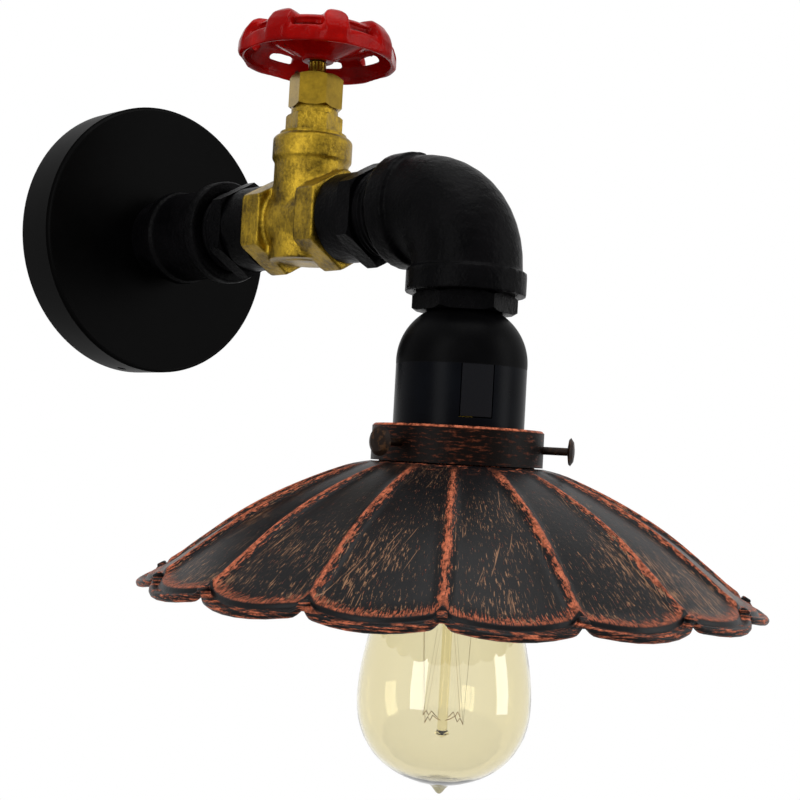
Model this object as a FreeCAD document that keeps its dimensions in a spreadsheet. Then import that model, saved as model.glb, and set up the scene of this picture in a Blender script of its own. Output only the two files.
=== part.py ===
# Industrial pipe wall light: round wall plate, pipe fittings, a brass valve with a
# red handwheel, an elbow, a lampholder, a 16-panel scalloped shade and a filament bulb.
# Frame: the origin is the centre of the wall plate's back, on the wall (the wall is
# y = 0). The arm runs along -Y, the lamp hangs along -Z under the elbow. Millimetres.
import FreeCAD, Part
import Sketcher
import math
import os

V = FreeCAD.Vector
doc = FreeCAD.newDocument("PipeWallLight")
sheet = doc.addObject("Spreadsheet::Sheet", "Sheet")


class Size:
    """A length that knows its number and the sheet formula that gives it."""

    def __init__(self, text, number):
        self.text = text
        self.number = float(number)

    def __add__(self, other):
        o = as_size(other)
        return Size("(%s + %s)" % (self.text, o.text), self.number + o.number)

    def __radd__(self, other):
        return as_size(other) + self

    def __sub__(self, other):
        o = as_size(other)
        return Size("(%s - %s)" % (self.text, o.text), self.number - o.number)

    def __rsub__(self, other):
        return as_size(other) - self

    def __mul__(self, other):
        o = as_size(other)
        return Size("(%s * %s)" % (self.text, o.text), self.number * o.number)

    def __rmul__(self, other):
        return as_size(other) * self

    def __truediv__(self, other):
        o = as_size(other)
        return Size("(%s / %s)" % (self.text, o.text), self.number / o.number)

    def __neg__(self):
        return Size("(0 - %s)" % self.text, -self.number)


def as_size(value):
    if isinstance(value, Size):
        return value
    return Size(repr(float(value)), value)


row = [0]


def size(name, value, note):
    """Write one driving dimension into the sheet."""
    row[0] += 1
    sheet.set("A%d" % row[0], note)
    sheet.set("B%d" % row[0], repr(float(value)))
    sheet.setAlias("B%d" % row[0], name)
    return Size("Sheet.%s" % name, value)


# ------------------------------------------------------------ driving dimensions
plate_r = size("plate_radius", 60.0, "wall plate outer radius")
plate_deep = size("plate_depth", 20.0, "wall plate depth")
plate_wall = size("plate_wall", 1.5, "wall plate sheet thickness")
plate_round = size("plate_edge_round", 1.5, "front edge rounding")
screw_turn = size("side_screw_turn", 9.5, "side screws' turn from the vertical, degrees")
strap_wide = size("strap_width", 20.0, "bracket strap width")
strap_thick = size("strap_thickness", 1.5, "bracket strap thickness")
strap_tab = size("strap_tab_depth", 13.0, "bracket end tab depth from the wall")
strap_gap = size("strap_gap", 0.5, "air between tab and rim")
fix_pitch = size("fixing_pitch", 84.0, "distance between the wall fixing holes")
fix_hole_r = size("fixing_hole_radius", 2.5, "wall fixing hole radius")
side_screw_d = size("side_screw_depth", 8.0, "side screw axis from the wall")
side_screw_r = size("side_screw_radius", 2.0, "side screw radius")
side_screw_len = size("side_screw_length", 5.0, "side screw length")
arm_len = size("arm_length", 203.0, "wall to lamp axis")
arm_bore = size("arm_bore", 10.0, "bore radius through the fittings")
thread_gap = size("thread_gap", 0.05, "radial gap of the screwed fits")
big_r = size("large_thread_radius", 16.4, "one inch thread radius")
big_in = size("large_thread_engagement", 11.0, "one inch thread engagement")
small_r = size("small_thread_radius", 13.0, "three quarter inch thread radius")
small_in = size("small_thread_engagement", 10.5, "three quarter inch engagement")
collar_r = size("collar_radius", 17.5, "plain collar radius")
hex_af = size("fitting_hex_width", 35.3, "hexagon across flats on the arm")
hex_len = size("fitting_hex_length", 7.0, "black hexagon length")
collar_len = size("collar_length", 13.0, "plain collar length")
thread_show = size("thread_in_view", 6.5, "bare thread between socket and hexagon")
base_collar = size("wall_collar_length", 11.0, "collar between plate and socket")
nut_af = size("back_nut_width", 41.0, "back nut across flats")
nut_thick = size("back_nut_thickness", 5.0, "back nut thickness")
socket_r = size("socket_body_radius", 19.2, "socket body radius")
socket_bead_r = size("socket_bead_radius", 21.8, "socket bead radius, arm side")
socket_base_r = size("socket_base_radius", 20.4, "socket bead radius, wall side")
socket_bead = size("socket_bead_width", 6.5, "socket bead width")
socket_len = size("socket_length", 38.0, "socket length")
valve_len = size("valve_length", 43.0, "valve end to end")
valve_hex = size("valve_hex_length", 11.0, "valve end hexagon length")
barrel_r = size("valve_barrel_radius", 15.6, "valve barrel radius")
column_r = size("valve_column_radius", 14.6, "valve column radius")
neck_r = size("valve_neck_radius", 16.1, "valve neck radius")
neck_low = size("valve_neck_start", 23.5, "valve neck, lower edge above the arm axis")
neck_top = size("valve_neck_top", 34.5, "valve neck, top above the arm axis")
bonnet_thread_r = size("bonnet_thread_radius", 12.6, "bonnet thread radius")
bonnet_in = size("bonnet_engagement", 12.0, "bonnet thread length in the neck")
bonnet_af = size("bonnet_hex_width", 20.0, "bonnet hexagon across flats")
bonnet_hex = size("bonnet_hex_length", 7.5, "bonnet hexagon length")
gland_seat = size("gland_seat_length", 3.0, "bonnet spigot in view under the gland nut")
gland_r = size("gland_thread_radius", 8.6, "gland thread radius")
gland_in = size("gland_engagement", 5.0, "gland thread length inside the nut")
gland_af = size("gland_nut_width", 19.0, "gland nut across flats")
gland_len = size("gland_nut_length", 13.2, "gland nut length")
gland_lid = size("gland_nut_top", 3.0, "gland nut top thickness")
spindle_r = size("spindle_radius", 3.6, "valve spindle radius")
spindle_gap = size("spindle_gap", 0.06, "running gap of the spindle")
spindle_foot_r = size("spindle_foot_radius", 6.0, "spindle foot radius")
spindle_foot = size("spindle_foot_height", 3.5, "spindle foot height")
wheel_gap = size("wheel_clearance", 6.4, "bare spindle between gland nut and hub")
wheel_r = size("wheel_radius", 32.6, "handwheel radius over the corners")
wheel_high = size("wheel_height", 12.0, "handwheel hub height")
wheel_dish = size("wheel_dish", 15.0, "handwheel rim to the top of the humps")
wheel_hump = size("wheel_hump_radius", 4.9, "handwheel hump radius")
wheel_wall = size("wheel_wall", 2.8, "handwheel wall")
wheel_hub_r = size("wheel_hub_radius", 6.6, "handwheel hub radius")
wheel_lobes = size("wheel_lobes", 8.0, "number of handwheel humps and windows")
wheel_turn = size("wheel_turn", 15.5, "turn of the first hump, degrees")
wheel_nut_af = size("wheel_nut_width", 10.0, "wheel nut across flats")
wheel_nut_len = size("wheel_nut_length", 3.5, "wheel nut thickness")
elbow_face = size("elbow_centre_to_face", 33.0, "elbow centre to face")
elbow_bend = size("elbow_bend_radius", 23.0, "elbow centreline radius")
elbow_r = size("elbow_body_radius", 20.1, "elbow body radius")
elbow_bead_r = size("elbow_bead_radius", 21.8, "elbow bead radius")
elbow_bead = size("elbow_bead_width", 8.5, "elbow bead width")
elbow_bore = size("elbow_bore_radius", 13.5, "elbow inner passage radius")
plug_af = size("plug_hex_width", 33.0, "lamp plug across flats")
plug_hex = size("plug_hex_length", 6.5, "lamp plug hexagon length")
stem_pipe_r = size("entry_nipple_radius", 4.95, "holder entry nipple radius")
stem_pipe_bore = size("entry_nipple_bore", 3.6, "holder entry nipple bore radius")
holder_r = size("holder_radius", 23.5, "lampholder radius")
holder_top_r = size("holder_top_radius", 13.4, "lampholder dome, top flat radius")
holder_wall = size("holder_wall", 2.2, "lampholder wall")
dome_high = size("holder_dome_height", 19.5, "lampholder dome height")
skirt_high = size("holder_skirt_height", 21.5, "lampholder skirt height")
tab_wide = size("holder_tab_width", 11.0, "snap tab width")
tab_long = size("holder_tab_length", 18.0, "snap tab length")
tab_turn = size("holder_tab_turn", -34.5, "snap tab direction, degrees from -Y to +X")
tab_gap = size("holder_tab_gap", 0.4, "groove round the snap tab")
holder_thread_r = size("holder_thread_radius", 19.7, "threaded spigot radius")
holder_spigot = size("holder_spigot_length", 17.0, "threaded spigot length")
gallery_r = size("gallery_radius", 30.7, "gallery ring radius")
gallery_wall = size("gallery_wall", 1.6, "gallery ring wall")
gallery_high = size("gallery_height", 13.0, "gallery ring height")
ring_nut_r = size("ring_nut_radius", 25.5, "shade ring nut radius")
ring_nut_high = size("ring_nut_height", 5.5, "shade ring nut height")
collar_neck_r = size("shade_neck_radius", 27.6, "shade neck outer radius")
collar_neck_high = size("shade_neck_height", 9.6, "shade neck height inside the ring")
shade_thick = size("shade_thickness", 1.2, "shade sheet thickness")
shade_lip = size("shade_lip", 1.2, "shade neck lip")
shade_panels = size("shade_panels", 16.0, "number of shade panels")
shade_turn = size("shade_turn", -48.2, "direction of one rib, degrees from -Y to +X")
notch_r = size("shade_notch_radius", 104.0, "shade radius at a rib's end")
lobe_out = size("shade_lobe", 4.8, "a panel's middle beyond the rib ends")
shade_drop = size("shade_drop", 41.5, "height from shade shoulder to a rib's end")
rib_rise = size("shade_rib_rise", 2.2, "height of the ribs above the panels")
rib_half = size("shade_rib_half_width", 2.3, "half width of a rib")
bead_r = size("shade_bead_radius", 1.3, "rolled edge radius")
thumb_r = size("thumbscrew_radius", 1.4, "thumbscrew radius")
thumb_head_r = size("thumbscrew_head_radius", 5.0, "thumbscrew head radius")
thumb_head = size("thumbscrew_head_thickness", 2.4, "thumbscrew head thickness")
thumb_show = size("thumbscrew_in_view", 8.6, "bare thumbscrew outside the ring")
thumb_turn = size("thumbscrew_turn", -89.0, "first thumbscrew, degrees from -Y to +X")
cap_r = size("lamp_cap_radius", 13.1, "bulb cap radius")
cap_high = size("lamp_cap_height", 24.0, "bulb cap height")
bulb_r = size("bulb_radius", 31.0, "bulb's largest radius")
bulb_long = size("bulb_glass_length", 113.5, "bulb glass, cap to the tip")
bulb_wall = size("bulb_wall", 0.8, "bulb glass thickness")
bulb_wide = size("bulb_widest", 81.5, "cap edge down to the widest place")
rod_r = size("rod_radius", 1.8, "glass rod radius")
lead_r = size("lead_radius", 1.1, "lead radius")

doc.recompute()
parts = {}
checks = []


# -------------------------------------------------------------------- helpers
def at(obj, x=0.0, y=0.0, z=0.0, rotation=None):
    """Place an object, its position bound to the sheet."""
    obj.Placement = FreeCAD.Placement(V(0, 0, 0), rotation or FreeCAD.Rotation())
    for axis, value in (("x", x), ("y", y), ("z", z)):
        value = as_size(value)
        if value.text.startswith("(") or value.text.startswith("Sheet"):
            obj.setExpression("Placement.Base.%s" % axis, value.text)
        elif value.number:
            obj.setExpression("Placement.Base.%s" % axis, value.text)
    return obj


def keep(obj, node):
    """Give a sub-part its node name."""
    obj.Label = node
    parts[node] = obj
    return obj


def vertex(sketch, geo, end, x, y):
    """Bind one sketch point to the sheet, measured from the sketch origin."""
    for kind, q, axis in (("DistanceX", x, -2), ("DistanceY", y, -1)):
        q = as_size(q)
        if abs(q.number) < 1e-9:
            sketch.addConstraint(Sketcher.Constraint("PointOnObject", geo, end, axis))
            continue
        if q.number > 0:
            con = Sketcher.Constraint(kind, -1, 1, geo, end, q.number)
        else:
            con = Sketcher.Constraint(kind, geo, end, -1, 1, -q.number)
            q = -q
        index = sketch.addConstraint(con)
        if "Sheet" in q.text:
            sketch.setExpression("Constraints[%d]" % index, q.text)


def draw(sketch, points):
    """Closed profile: each point is (x, y) or (x, y, radius) where an arc leaves it."""
    n = len(points)
    ends = []
    for i in range(n):
        p, q = points[i], points[(i + 1) % n]
        a = V(as_size(p[0]).number, as_size(p[1]).number, 0)
        b = V(as_size(q[0]).number, as_size(q[1]).number, 0)
        if len(p) == 2:
            geo = sketch.addGeometry(Part.LineSegment(a, b), False)
            ends.append((geo, 1, 2))
            continue
        r = as_size(p[2]).number
        side = 1.0 if r > 0 else -1.0
        chord = b - a
        half = chord.Length / 2
        lift = math.sqrt(max(r * r - half * half, 0.0))
        normal = V(-chord.y, chord.x, 0).normalize()
        centre = (a + b) * 0.5 + normal * lift * side
        t0 = math.atan2(a.y - centre.y, a.x - centre.x)
        t1 = math.atan2(b.y - centre.y, b.x - centre.x)
        circle = Part.Circle(centre, V(0, 0, 1), abs(r))
        if side > 0:
            geo = sketch.addGeometry(Part.ArcOfCircle(circle, t0, t1), False)
            ends.append((geo, 1, 2))
        else:
            geo = sketch.addGeometry(Part.ArcOfCircle(circle, t1, t0), False)
            ends.append((geo, 2, 1))
        index = sketch.addConstraint(Sketcher.Constraint("Radius", geo, abs(r)))
        q_r = as_size(p[2]) if r > 0 else -as_size(p[2])
        if "Sheet" in q_r.text:
            sketch.setExpression("Constraints[%d]" % index, q_r.text)
    for i in range(n):
        geo, first, _ = ends[i]
        before, _, last = ends[i - 1]
        sketch.addConstraint(Sketcher.Constraint("Coincident", before, last, geo, first))
        vertex(sketch, geo, first, points[i][0], points[i][1])


def new_body(name, plane, x=0.0, y=0.0, z=0.0, rotation=None):
    body = doc.addObject("PartDesign::Body", name)
    at(body, x, y, z, rotation)
    sketch = sketch_on(body, name + "_profile", plane)
    return body, sketch


def sketch_on(body, name, plane):
    sketch = body.newObject("Sketcher::SketchObject", name)
    for feature in body.Origin.OriginFeatures:
        if feature.Role == plane:
            sketch.AttachmentSupport = [(feature, "")]
    sketch.MapMode = "FlatFace"
    return sketch


def turned(name, plane, points, x=0.0, y=0.0, z=0.0, rotation=None):
    """A turned piece: a closed profile revolved about the sketch's vertical axis."""
    body, sketch = new_body(name, plane, x, y, z, rotation)
    draw(sketch, points)
    spin = body.newObject("PartDesign::Revolution", name + "_turn")
    spin.Profile = sketch
    spin.ReferenceAxis = (sketch, ["V_Axis"])
    spin.Angle = 360.0
    sketch.Visibility = False
    body.Tip = spin
    return body


def along_arm(name, points):
    """Turned about the arm axis; points are (radius, distance from the wall)."""
    return turned(name, "XY_Plane", [(p[0], -as_size(p[1])) + tuple(p[2:]) for p in points])


def on_column(name, points):
    """Turned about the valve's upright axis; points are (radius, height)."""
    return turned(name, "XZ_Plane", points, y=-valve_axis)


def on_lamp(name, points):
    """Turned about the lamp axis; points are (radius, height)."""
    return turned(name, "XZ_Plane", points, y=-arm_len)


def cylinder(name, r, h):
    obj = doc.addObject("Part::Cylinder", name)
    for prop, q in (("Radius", r), ("Height", h)):
        obj.setExpression(prop, as_size(q).text)
    return obj


def prism(name, across, height):
    obj = doc.addObject("Part::Prism", name)
    obj.Polygon = 6
    obj.setExpression("Circumradius", (as_size(across) / math.sqrt(3.0)).text)
    obj.setExpression("Height", as_size(height).text)
    return obj


def fuse(name, shapes):
    obj = doc.addObject("Part::MultiFuse", name)
    obj.Shapes = shapes
    obj.Refine = True
    return obj


def common(name, base, tool):
    obj = doc.addObject("Part::Common", name)
    obj.Base = base
    obj.Tool = tool
    return obj


def cut(name, base, tool):
    obj = doc.addObject("Part::Cut", name)
    obj.Base = base
    obj.Tool = tool
    return obj


ALONG = FreeCAD.Rotation(V(1, 0, 0), 90)
ALONG_HEX = ALONG.multiply(FreeCAD.Rotation(V(0, 0, 1), 30))
SHARP = 2.0 / math.sqrt(3.0)


def hex_arm(name, across, start, length, bevel):
    """Hexagon on the arm axis with points up and down and bevelled corners."""
    bar = at(prism(name + "_bar", across, length), y=-as_size(start), rotation=ALONG_HEX)
    r = as_size(across) * (SHARP / 2)
    end = as_size(start) + length
    round_off = along_arm(name + "_bevel", [
        (0, start), (r - bevel, start), (r, as_size(start) + bevel * 0.6),
        (r, end - bevel * 0.6), (r - bevel, end), (0, end)])
    return common(name, bar, round_off)


def hex_up(name, across, low, length, bevel, y, turn):
    """Hexagon on an upright axis with bevelled corners."""
    spin = FreeCAD.Rotation(V(0, 0, 1), turn)
    bar = at(prism(name + "_bar", across, length), y=y, z=low, rotation=spin)
    r = as_size(across) * (SHARP / 2)
    top = as_size(low) + length
    round_off = turned(name + "_bevel", "XZ_Plane", [
        (0, low), (r - bevel, low), (r, as_size(low) + bevel * 0.6),
        (r, top - bevel * 0.6), (r - bevel, top), (0, top)], y=y)
    return common(name, bar, round_off)


def direction(degrees):
    """Unit vector in the plan, measured from -Y towards +X."""
    a = math.radians(degrees)
    return V(math.sin(a), -math.cos(a), 0)


def shape_part(node, shape, place=None):
    """A sub-part whose shape comes straight from the sheet's sizes."""
    obj = doc.addObject("Part::Feature", node)
    obj.Shape = shape
    obj.Placement = place or FreeCAD.Placement()
    return keep(obj, node)


# ------------------------------------------------- stations along the arm, from the wall
socket_start = plate_deep + base_collar
socket_end = socket_start + socket_len
rear_hex_start = socket_end + thread_show
rear_hex_end = rear_hex_start + hex_len
valve_start = rear_hex_end + collar_len
valve_axis = valve_start + valve_len / 2
valve_end = valve_start + valve_len
front_hex_start = valve_end + collar_len
front_hex_end = front_hex_start + hex_len
elbow_start = arm_len - elbow_face

# -------------------------------------------------------------------- wall end
front_in = plate_deep - plate_wall
keep(along_arm("WallPlate", [
    (big_r + thread_gap, front_in), (plate_r - plate_wall, front_in),
    (plate_r - plate_wall, 0), (plate_r, 0), (plate_r, plate_deep - plate_round, plate_round),
    (plate_r - plate_round, plate_deep), (big_r + thread_gap, plate_deep)]), "plate_blank")
plate_blank = parts.pop("plate_blank")
screw_spin = FreeCAD.Rotation(V(0, 1, 0), as_size(screw_turn).number)
rim_drill = at(cylinder("RimDrill", side_screw_r + thread_gap, plate_r * 2 + 4),
               z=-(plate_r + 2))
drill_place = FreeCAD.Placement(V(0, 0, 0), screw_spin)
drill_turned = doc.addObject("Part::Compound", "RimDrillTurned")
drill_turned.Links = [rim_drill]
drill_turned.Placement = drill_place
rim_drill.setExpression("Placement.Base.y", (-side_screw_d).text)
keep(cut("WallPlatePierced", plate_blank, drill_turned), "wall_plate")

# Strap across the back with a bent tab at each end, wall fixing holes and a lead hole.
tab_out = plate_r - plate_wall - strap_gap


def box(name, lx, ly, lz, x, y, z):
    obj = doc.addObject("Part::Box", name)
    for prop, q in (("Length", lx), ("Width", ly), ("Height", lz)):
        obj.setExpression(prop, as_size(q).text)
    return at(obj, x, y, z)


strap_flat = box("StrapFlat", strap_wide, strap_thick, tab_out * 2,
                 -strap_wide / 2, -strap_thick, -tab_out)
strap_up = box("StrapTabTop", strap_wide, strap_tab, strap_thick,
               -strap_wide / 2, -strap_tab, tab_out - strap_thick)
strap_down = box("StrapTabLow", strap_wide, strap_tab, strap_thick,
                 -strap_wide / 2, -strap_tab, -tab_out)
strap_disc = at(cylinder("StrapEnds", tab_out, strap_tab), rotation=ALONG)
strap_solid = common("StrapTrim", fuse("StrapBent", [strap_flat, strap_up, strap_down]),
                     strap_disc)
holes = [at(cylinder("FixHoleTop", fix_hole_r, strap_thick), z=fix_pitch / 2, rotation=ALONG),
         at(cylinder("FixHoleLow", fix_hole_r, strap_thick), z=-fix_pitch / 2, rotation=ALONG),
         at(cylinder("LeadHole", arm_bore - 2, strap_thick), rotation=ALONG),
         at(cylinder("EarthHole", 2.0 + thread_gap, strap_thick), z=-fix_pitch / 3,
            rotation=ALONG),
         at(cylinder("TabHole", side_screw_r + thread_gap, tab_out * 2 + 4),
            y=-side_screw_d, z=-(tab_out + 2))]
strap = cut("StrapDrilled", strap_solid, fuse("StrapHoles", holes))
strap.Placement = FreeCAD.Placement(V(0, 0, 0), screw_spin)
keep(strap, "wall_bracket")

screws = []
for sign, word in ((1, "Top"), (-1, "Low")):
    low = plate_r - 0.6 - side_screw_len if sign > 0 else -(plate_r - 0.6)
    screws.append(at(cylinder("SideScrew" + word, side_screw_r, side_screw_len),
                     y=-side_screw_d, z=low))
side = doc.addObject("Part::Compound", "SideScrews")
side.Links = screws
side.Placement = FreeCAD.Placement(V(0, 0, 0), screw_spin)
keep(side, "side_screws")

earth_z = -fix_pitch / 3
earth = turned("EarthScrew", "XY_Plane", [
    (0, 0), (2.0, 0), (2.0, -strap_thick), (4.2, -strap_thick),
    (4.2, -(strap_thick + 1.6), 1.2), (3.0, -(strap_thick + 2.6)), (0, -(strap_thick + 2.6))],
    z=earth_z)
earth_all = doc.addObject("Part::Compound", "EarthScrewTurned")
earth_all.Links = [earth]
earth_all.Placement = FreeCAD.Placement(V(0, 0, 0), screw_spin)
keep(earth_all, "earth_screw")

block_wide = size("terminal_width", 18.0, "terminal block width")
block_high = size("terminal_height", 15.0, "terminal block height")
block_deep = size("terminal_depth", 10.0, "terminal block depth")
block_z = size("terminal_place", 27.0, "terminal block centre above the arm axis")
doc.recompute()
block = box("TerminalBody", block_wide, block_deep, block_high,
            -block_wide / 2, -(strap_thick + block_deep), block_z - block_high / 2)
block_holes = []
for k in (-1, 1):
    block_holes.append(at(cylinder("WireWay%d" % (k + 1), lead_r + 0.3, block_high),
                          x=k * (block_wide / 4), y=-(strap_thick + block_deep / 2),
                          z=block_z - block_high / 2))
    block_holes.append(at(cylinder("ClampWay%d" % (k + 1), 1.6, block_deep / 2),
                          x=k * (block_wide / 4), y=-(strap_thick + block_deep / 2),
                          z=block_z + block_high / 4, rotation=ALONG))
block_cut = cut("TerminalDrilled", block, fuse("TerminalHoles", block_holes))
block_cut.Placement = FreeCAD.Placement(V(0, 0, 0), screw_spin)
keep(block_cut, "terminal_block")

wall_nipple = along_arm("WallNippleBlank", [
    (arm_bore, front_in - nut_thick - 3), (big_r, front_in - nut_thick - 3),
    (big_r, plate_deep), (collar_r, plate_deep), (collar_r, socket_start),
    (big_r, socket_start), (big_r, socket_start + big_in), (arm_bore, socket_start + big_in)])
keep(wall_nipple, "wall_nipple")
nut_bore = at(cylinder("BackNutBore", big_r + thread_gap, nut_thick + 2),
              y=-(front_in - nut_thick - 1), rotation=ALONG)
nut_blank = hex_arm("BackNutHex", nut_af, front_in - nut_thick, nut_thick, 1.2)
keep(cut("BackNut", nut_blank, nut_bore), "back_nut")

# Socket with a bead at each end.
keep(along_arm("WallSocket", [
    (big_r + thread_gap, socket_start), (socket_base_r - 0.8, socket_start),
    (socket_base_r, socket_start + 0.8), (socket_base_r, socket_start + socket_bead - 1),
    (socket_r, socket_start + socket_bead), (socket_r, socket_end - socket_bead - 1.5),
    (socket_bead_r, socket_end - socket_bead), (socket_bead_r, socket_end - 1),
    (socket_bead_r - 1, socket_end), (big_r + thread_gap, socket_end)]), "wall_socket")


def reducing_nipple(node, big_end, hex_start, collar_start, collar_end, small_end, way):
    """Hexagon nipple: large thread, hexagon, plain collar, small thread, one bore."""
    lathe = along_arm(node + "_turned", [
        (arm_bore, big_end), (big_r, big_end), (big_r, hex_start), (collar_r - 1, hex_start),
        (collar_r, collar_start), (collar_r, collar_end - way), (collar_r - 1, collar_end),
        (small_r, collar_end), (small_r, small_end), (arm_bore, small_end)])
    low = hex_start if way > 0 else collar_start
    nut = hex_arm(node + "_hex", hex_af, low, hex_len, 1.6)
    hole = at(cylinder(node + "_hole", arm_bore, hex_len + 2), y=-(as_size(low) - 1),
              rotation=ALONG)
    return keep(fuse(node + "_whole", [lathe, cut(node + "_ring", nut, hole)]), node)


reducing_nipple("rear_nipple", socket_end - big_in, rear_hex_start, rear_hex_end,
                valve_start, valve_start + small_in, 1)
reducing_nipple("front_nipple", elbow_start + big_in, front_hex_end, front_hex_start,
                valve_end, valve_end - small_in, -1)

# -------------------------------------------------------------------- valve
rear_end_hex = hex_arm("ValveRearHex", hex_af, valve_start, valve_hex, 1.4)
front_end_hex = hex_arm("ValveFrontHex", hex_af, valve_end - valve_hex, valve_hex, 1.4)
barrel = at(cylinder("ValveBarrel", barrel_r, valve_len - 4), y=-(valve_start + 2),
            rotation=ALONG)
column = on_column("ValveColumn", [
    (0, -(barrel_r + 1)), (column_r - 5, -(barrel_r + 1)), (column_r, -(barrel_r - 4)),
    (column_r, neck_low), (neck_r, neck_low + 1.6), (neck_r, neck_top - 1.2),
    (neck_r - 1.2, neck_top), (0, neck_top)])
valve_solid = fuse("ValveSolid", [rear_end_hex, front_end_hex, barrel, column])
way_through = at(cylinder("ValveWay", arm_bore, valve_len + 2), y=-(valve_start - 1),
                 rotation=ALONG)
rear_bore = at(cylinder("ValveRearBore", small_r + thread_gap, small_in + 1.5),
               y=-(valve_start - 1), rotation=ALONG)
front_bore = at(cylinder("ValveFrontBore", small_r + thread_gap, small_in + 1.5),
                y=-(valve_end - small_in - 0.5), rotation=ALONG)
chamber = on_column("ValveChamber", [
    (0, -(arm_bore + 1)), (arm_bore - 1, -(arm_bore + 1)), (arm_bore - 1, neck_top - bonnet_in - 1),
    (bonnet_thread_r + thread_gap, neck_top - bonnet_in - 1),
    (bonnet_thread_r + thread_gap, neck_top + 1), (0, neck_top + 1)])
keep(cut("ValveBody", valve_solid,
         fuse("ValveHollow", [way_through, rear_bore, front_bore, chamber])), "valve_body")

bonnet_low = neck_top - bonnet_in
bonnet_top = neck_top + 1.5 + bonnet_hex
spigot_top = bonnet_top + gland_seat + gland_in
foot_room = bonnet_low + spindle_foot + 1.0
spindle_bore = spindle_r + spindle_gap
bonnet_lathe = on_column("BonnetTurned", [
    (spindle_foot_r + 0.5, bonnet_low), (bonnet_thread_r, bonnet_low),
    (bonnet_thread_r, neck_top), (bonnet_thread_r + 0.9, neck_top),
    (bonnet_thread_r + 0.9, neck_top + 1.5), (bonnet_af / 2 - 0.2, neck_top + 1.5),
    (bonnet_af / 2 - 0.2, bonnet_top), (gland_r + 0.9, bonnet_top),
    (gland_r + 0.9, bonnet_top + gland_seat - 1), (gland_r, bonnet_top + gland_seat - 1),
    (gland_r, spigot_top), (spindle_bore, spigot_top), (spindle_bore, foot_room),
    (spindle_foot_r + 0.5, foot_room)])
bonnet_nut = hex_up("BonnetHex", bonnet_af, neck_top + 1.5, bonnet_hex, 0.9, -valve_axis, -47)
bonnet_hole = at(cylinder("BonnetHexHole", spindle_bore, bonnet_hex + 2), y=-valve_axis,
                 z=neck_top + 0.5)
keep(fuse("Bonnet", [bonnet_lathe, cut("BonnetHexRing", bonnet_nut, bonnet_hole)]),
     "valve_bonnet")

gland_low = bonnet_top + gland_seat
gland_top = gland_low + gland_len
gland_blank = hex_up("GlandHex", gland_af, gland_low, gland_len, 1.3, -valve_axis, -50)
gland_core = on_column("GlandCore", [
    (0, gland_low - 1), (gland_r + thread_gap, gland_low - 1),
    (gland_r + thread_gap, gland_top - gland_lid), (spindle_bore, gland_top - gland_lid),
    (spindle_bore, gland_top + 1), (0, gland_top + 1)])
keep(cut("GlandNut", gland_blank, gland_core), "gland_nut")
keep(on_column("GlandPacking", [
    (spindle_bore, spigot_top), (gland_r - 0.3, spigot_top),
    (gland_r - 0.3, gland_top - gland_lid), (spindle_bore, gland_top - gland_lid)]),
    "gland_packing")

wheel_low = gland_top + wheel_gap
hub_top = wheel_low + wheel_high
spindle_top = hub_top + wheel_nut_len
keep(on_column("Spindle", [
    (0, bonnet_low + 0.5), (spindle_foot_r, bonnet_low + 0.5),
    (spindle_foot_r, bonnet_low + 0.5 + spindle_foot), (spindle_r, bonnet_low + 0.5 + spindle_foot),
    (spindle_r, wheel_low - 0.5), (spindle_r - 0.6, wheel_low), (spindle_r - 0.6, spindle_top),
    (0, spindle_top)]), "valve_spindle")
wheel_nut = hex_up("WheelNutHex", wheel_nut_af, hub_top, wheel_nut_len, 0.6, -valve_axis, 12)
wheel_nut_hole = at(cylinder("WheelNutHole", spindle_r - 0.6 + thread_gap, wheel_nut_len + 2),
                    y=-valve_axis, z=hub_top - 1)
keep(cut("WheelNut", wheel_nut, wheel_nut_hole), "wheel_nut")
doc.recompute()


def ring_of(points):
    """A solid of revolution about Z from (radius, height) points."""
    wire = Part.makePolygon([V(r, 0, z) for r, z in points + [points[0]]])
    return Part.Face(wire).revolve(V(0, 0, 0), V(0, 0, 1), 360)


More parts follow.
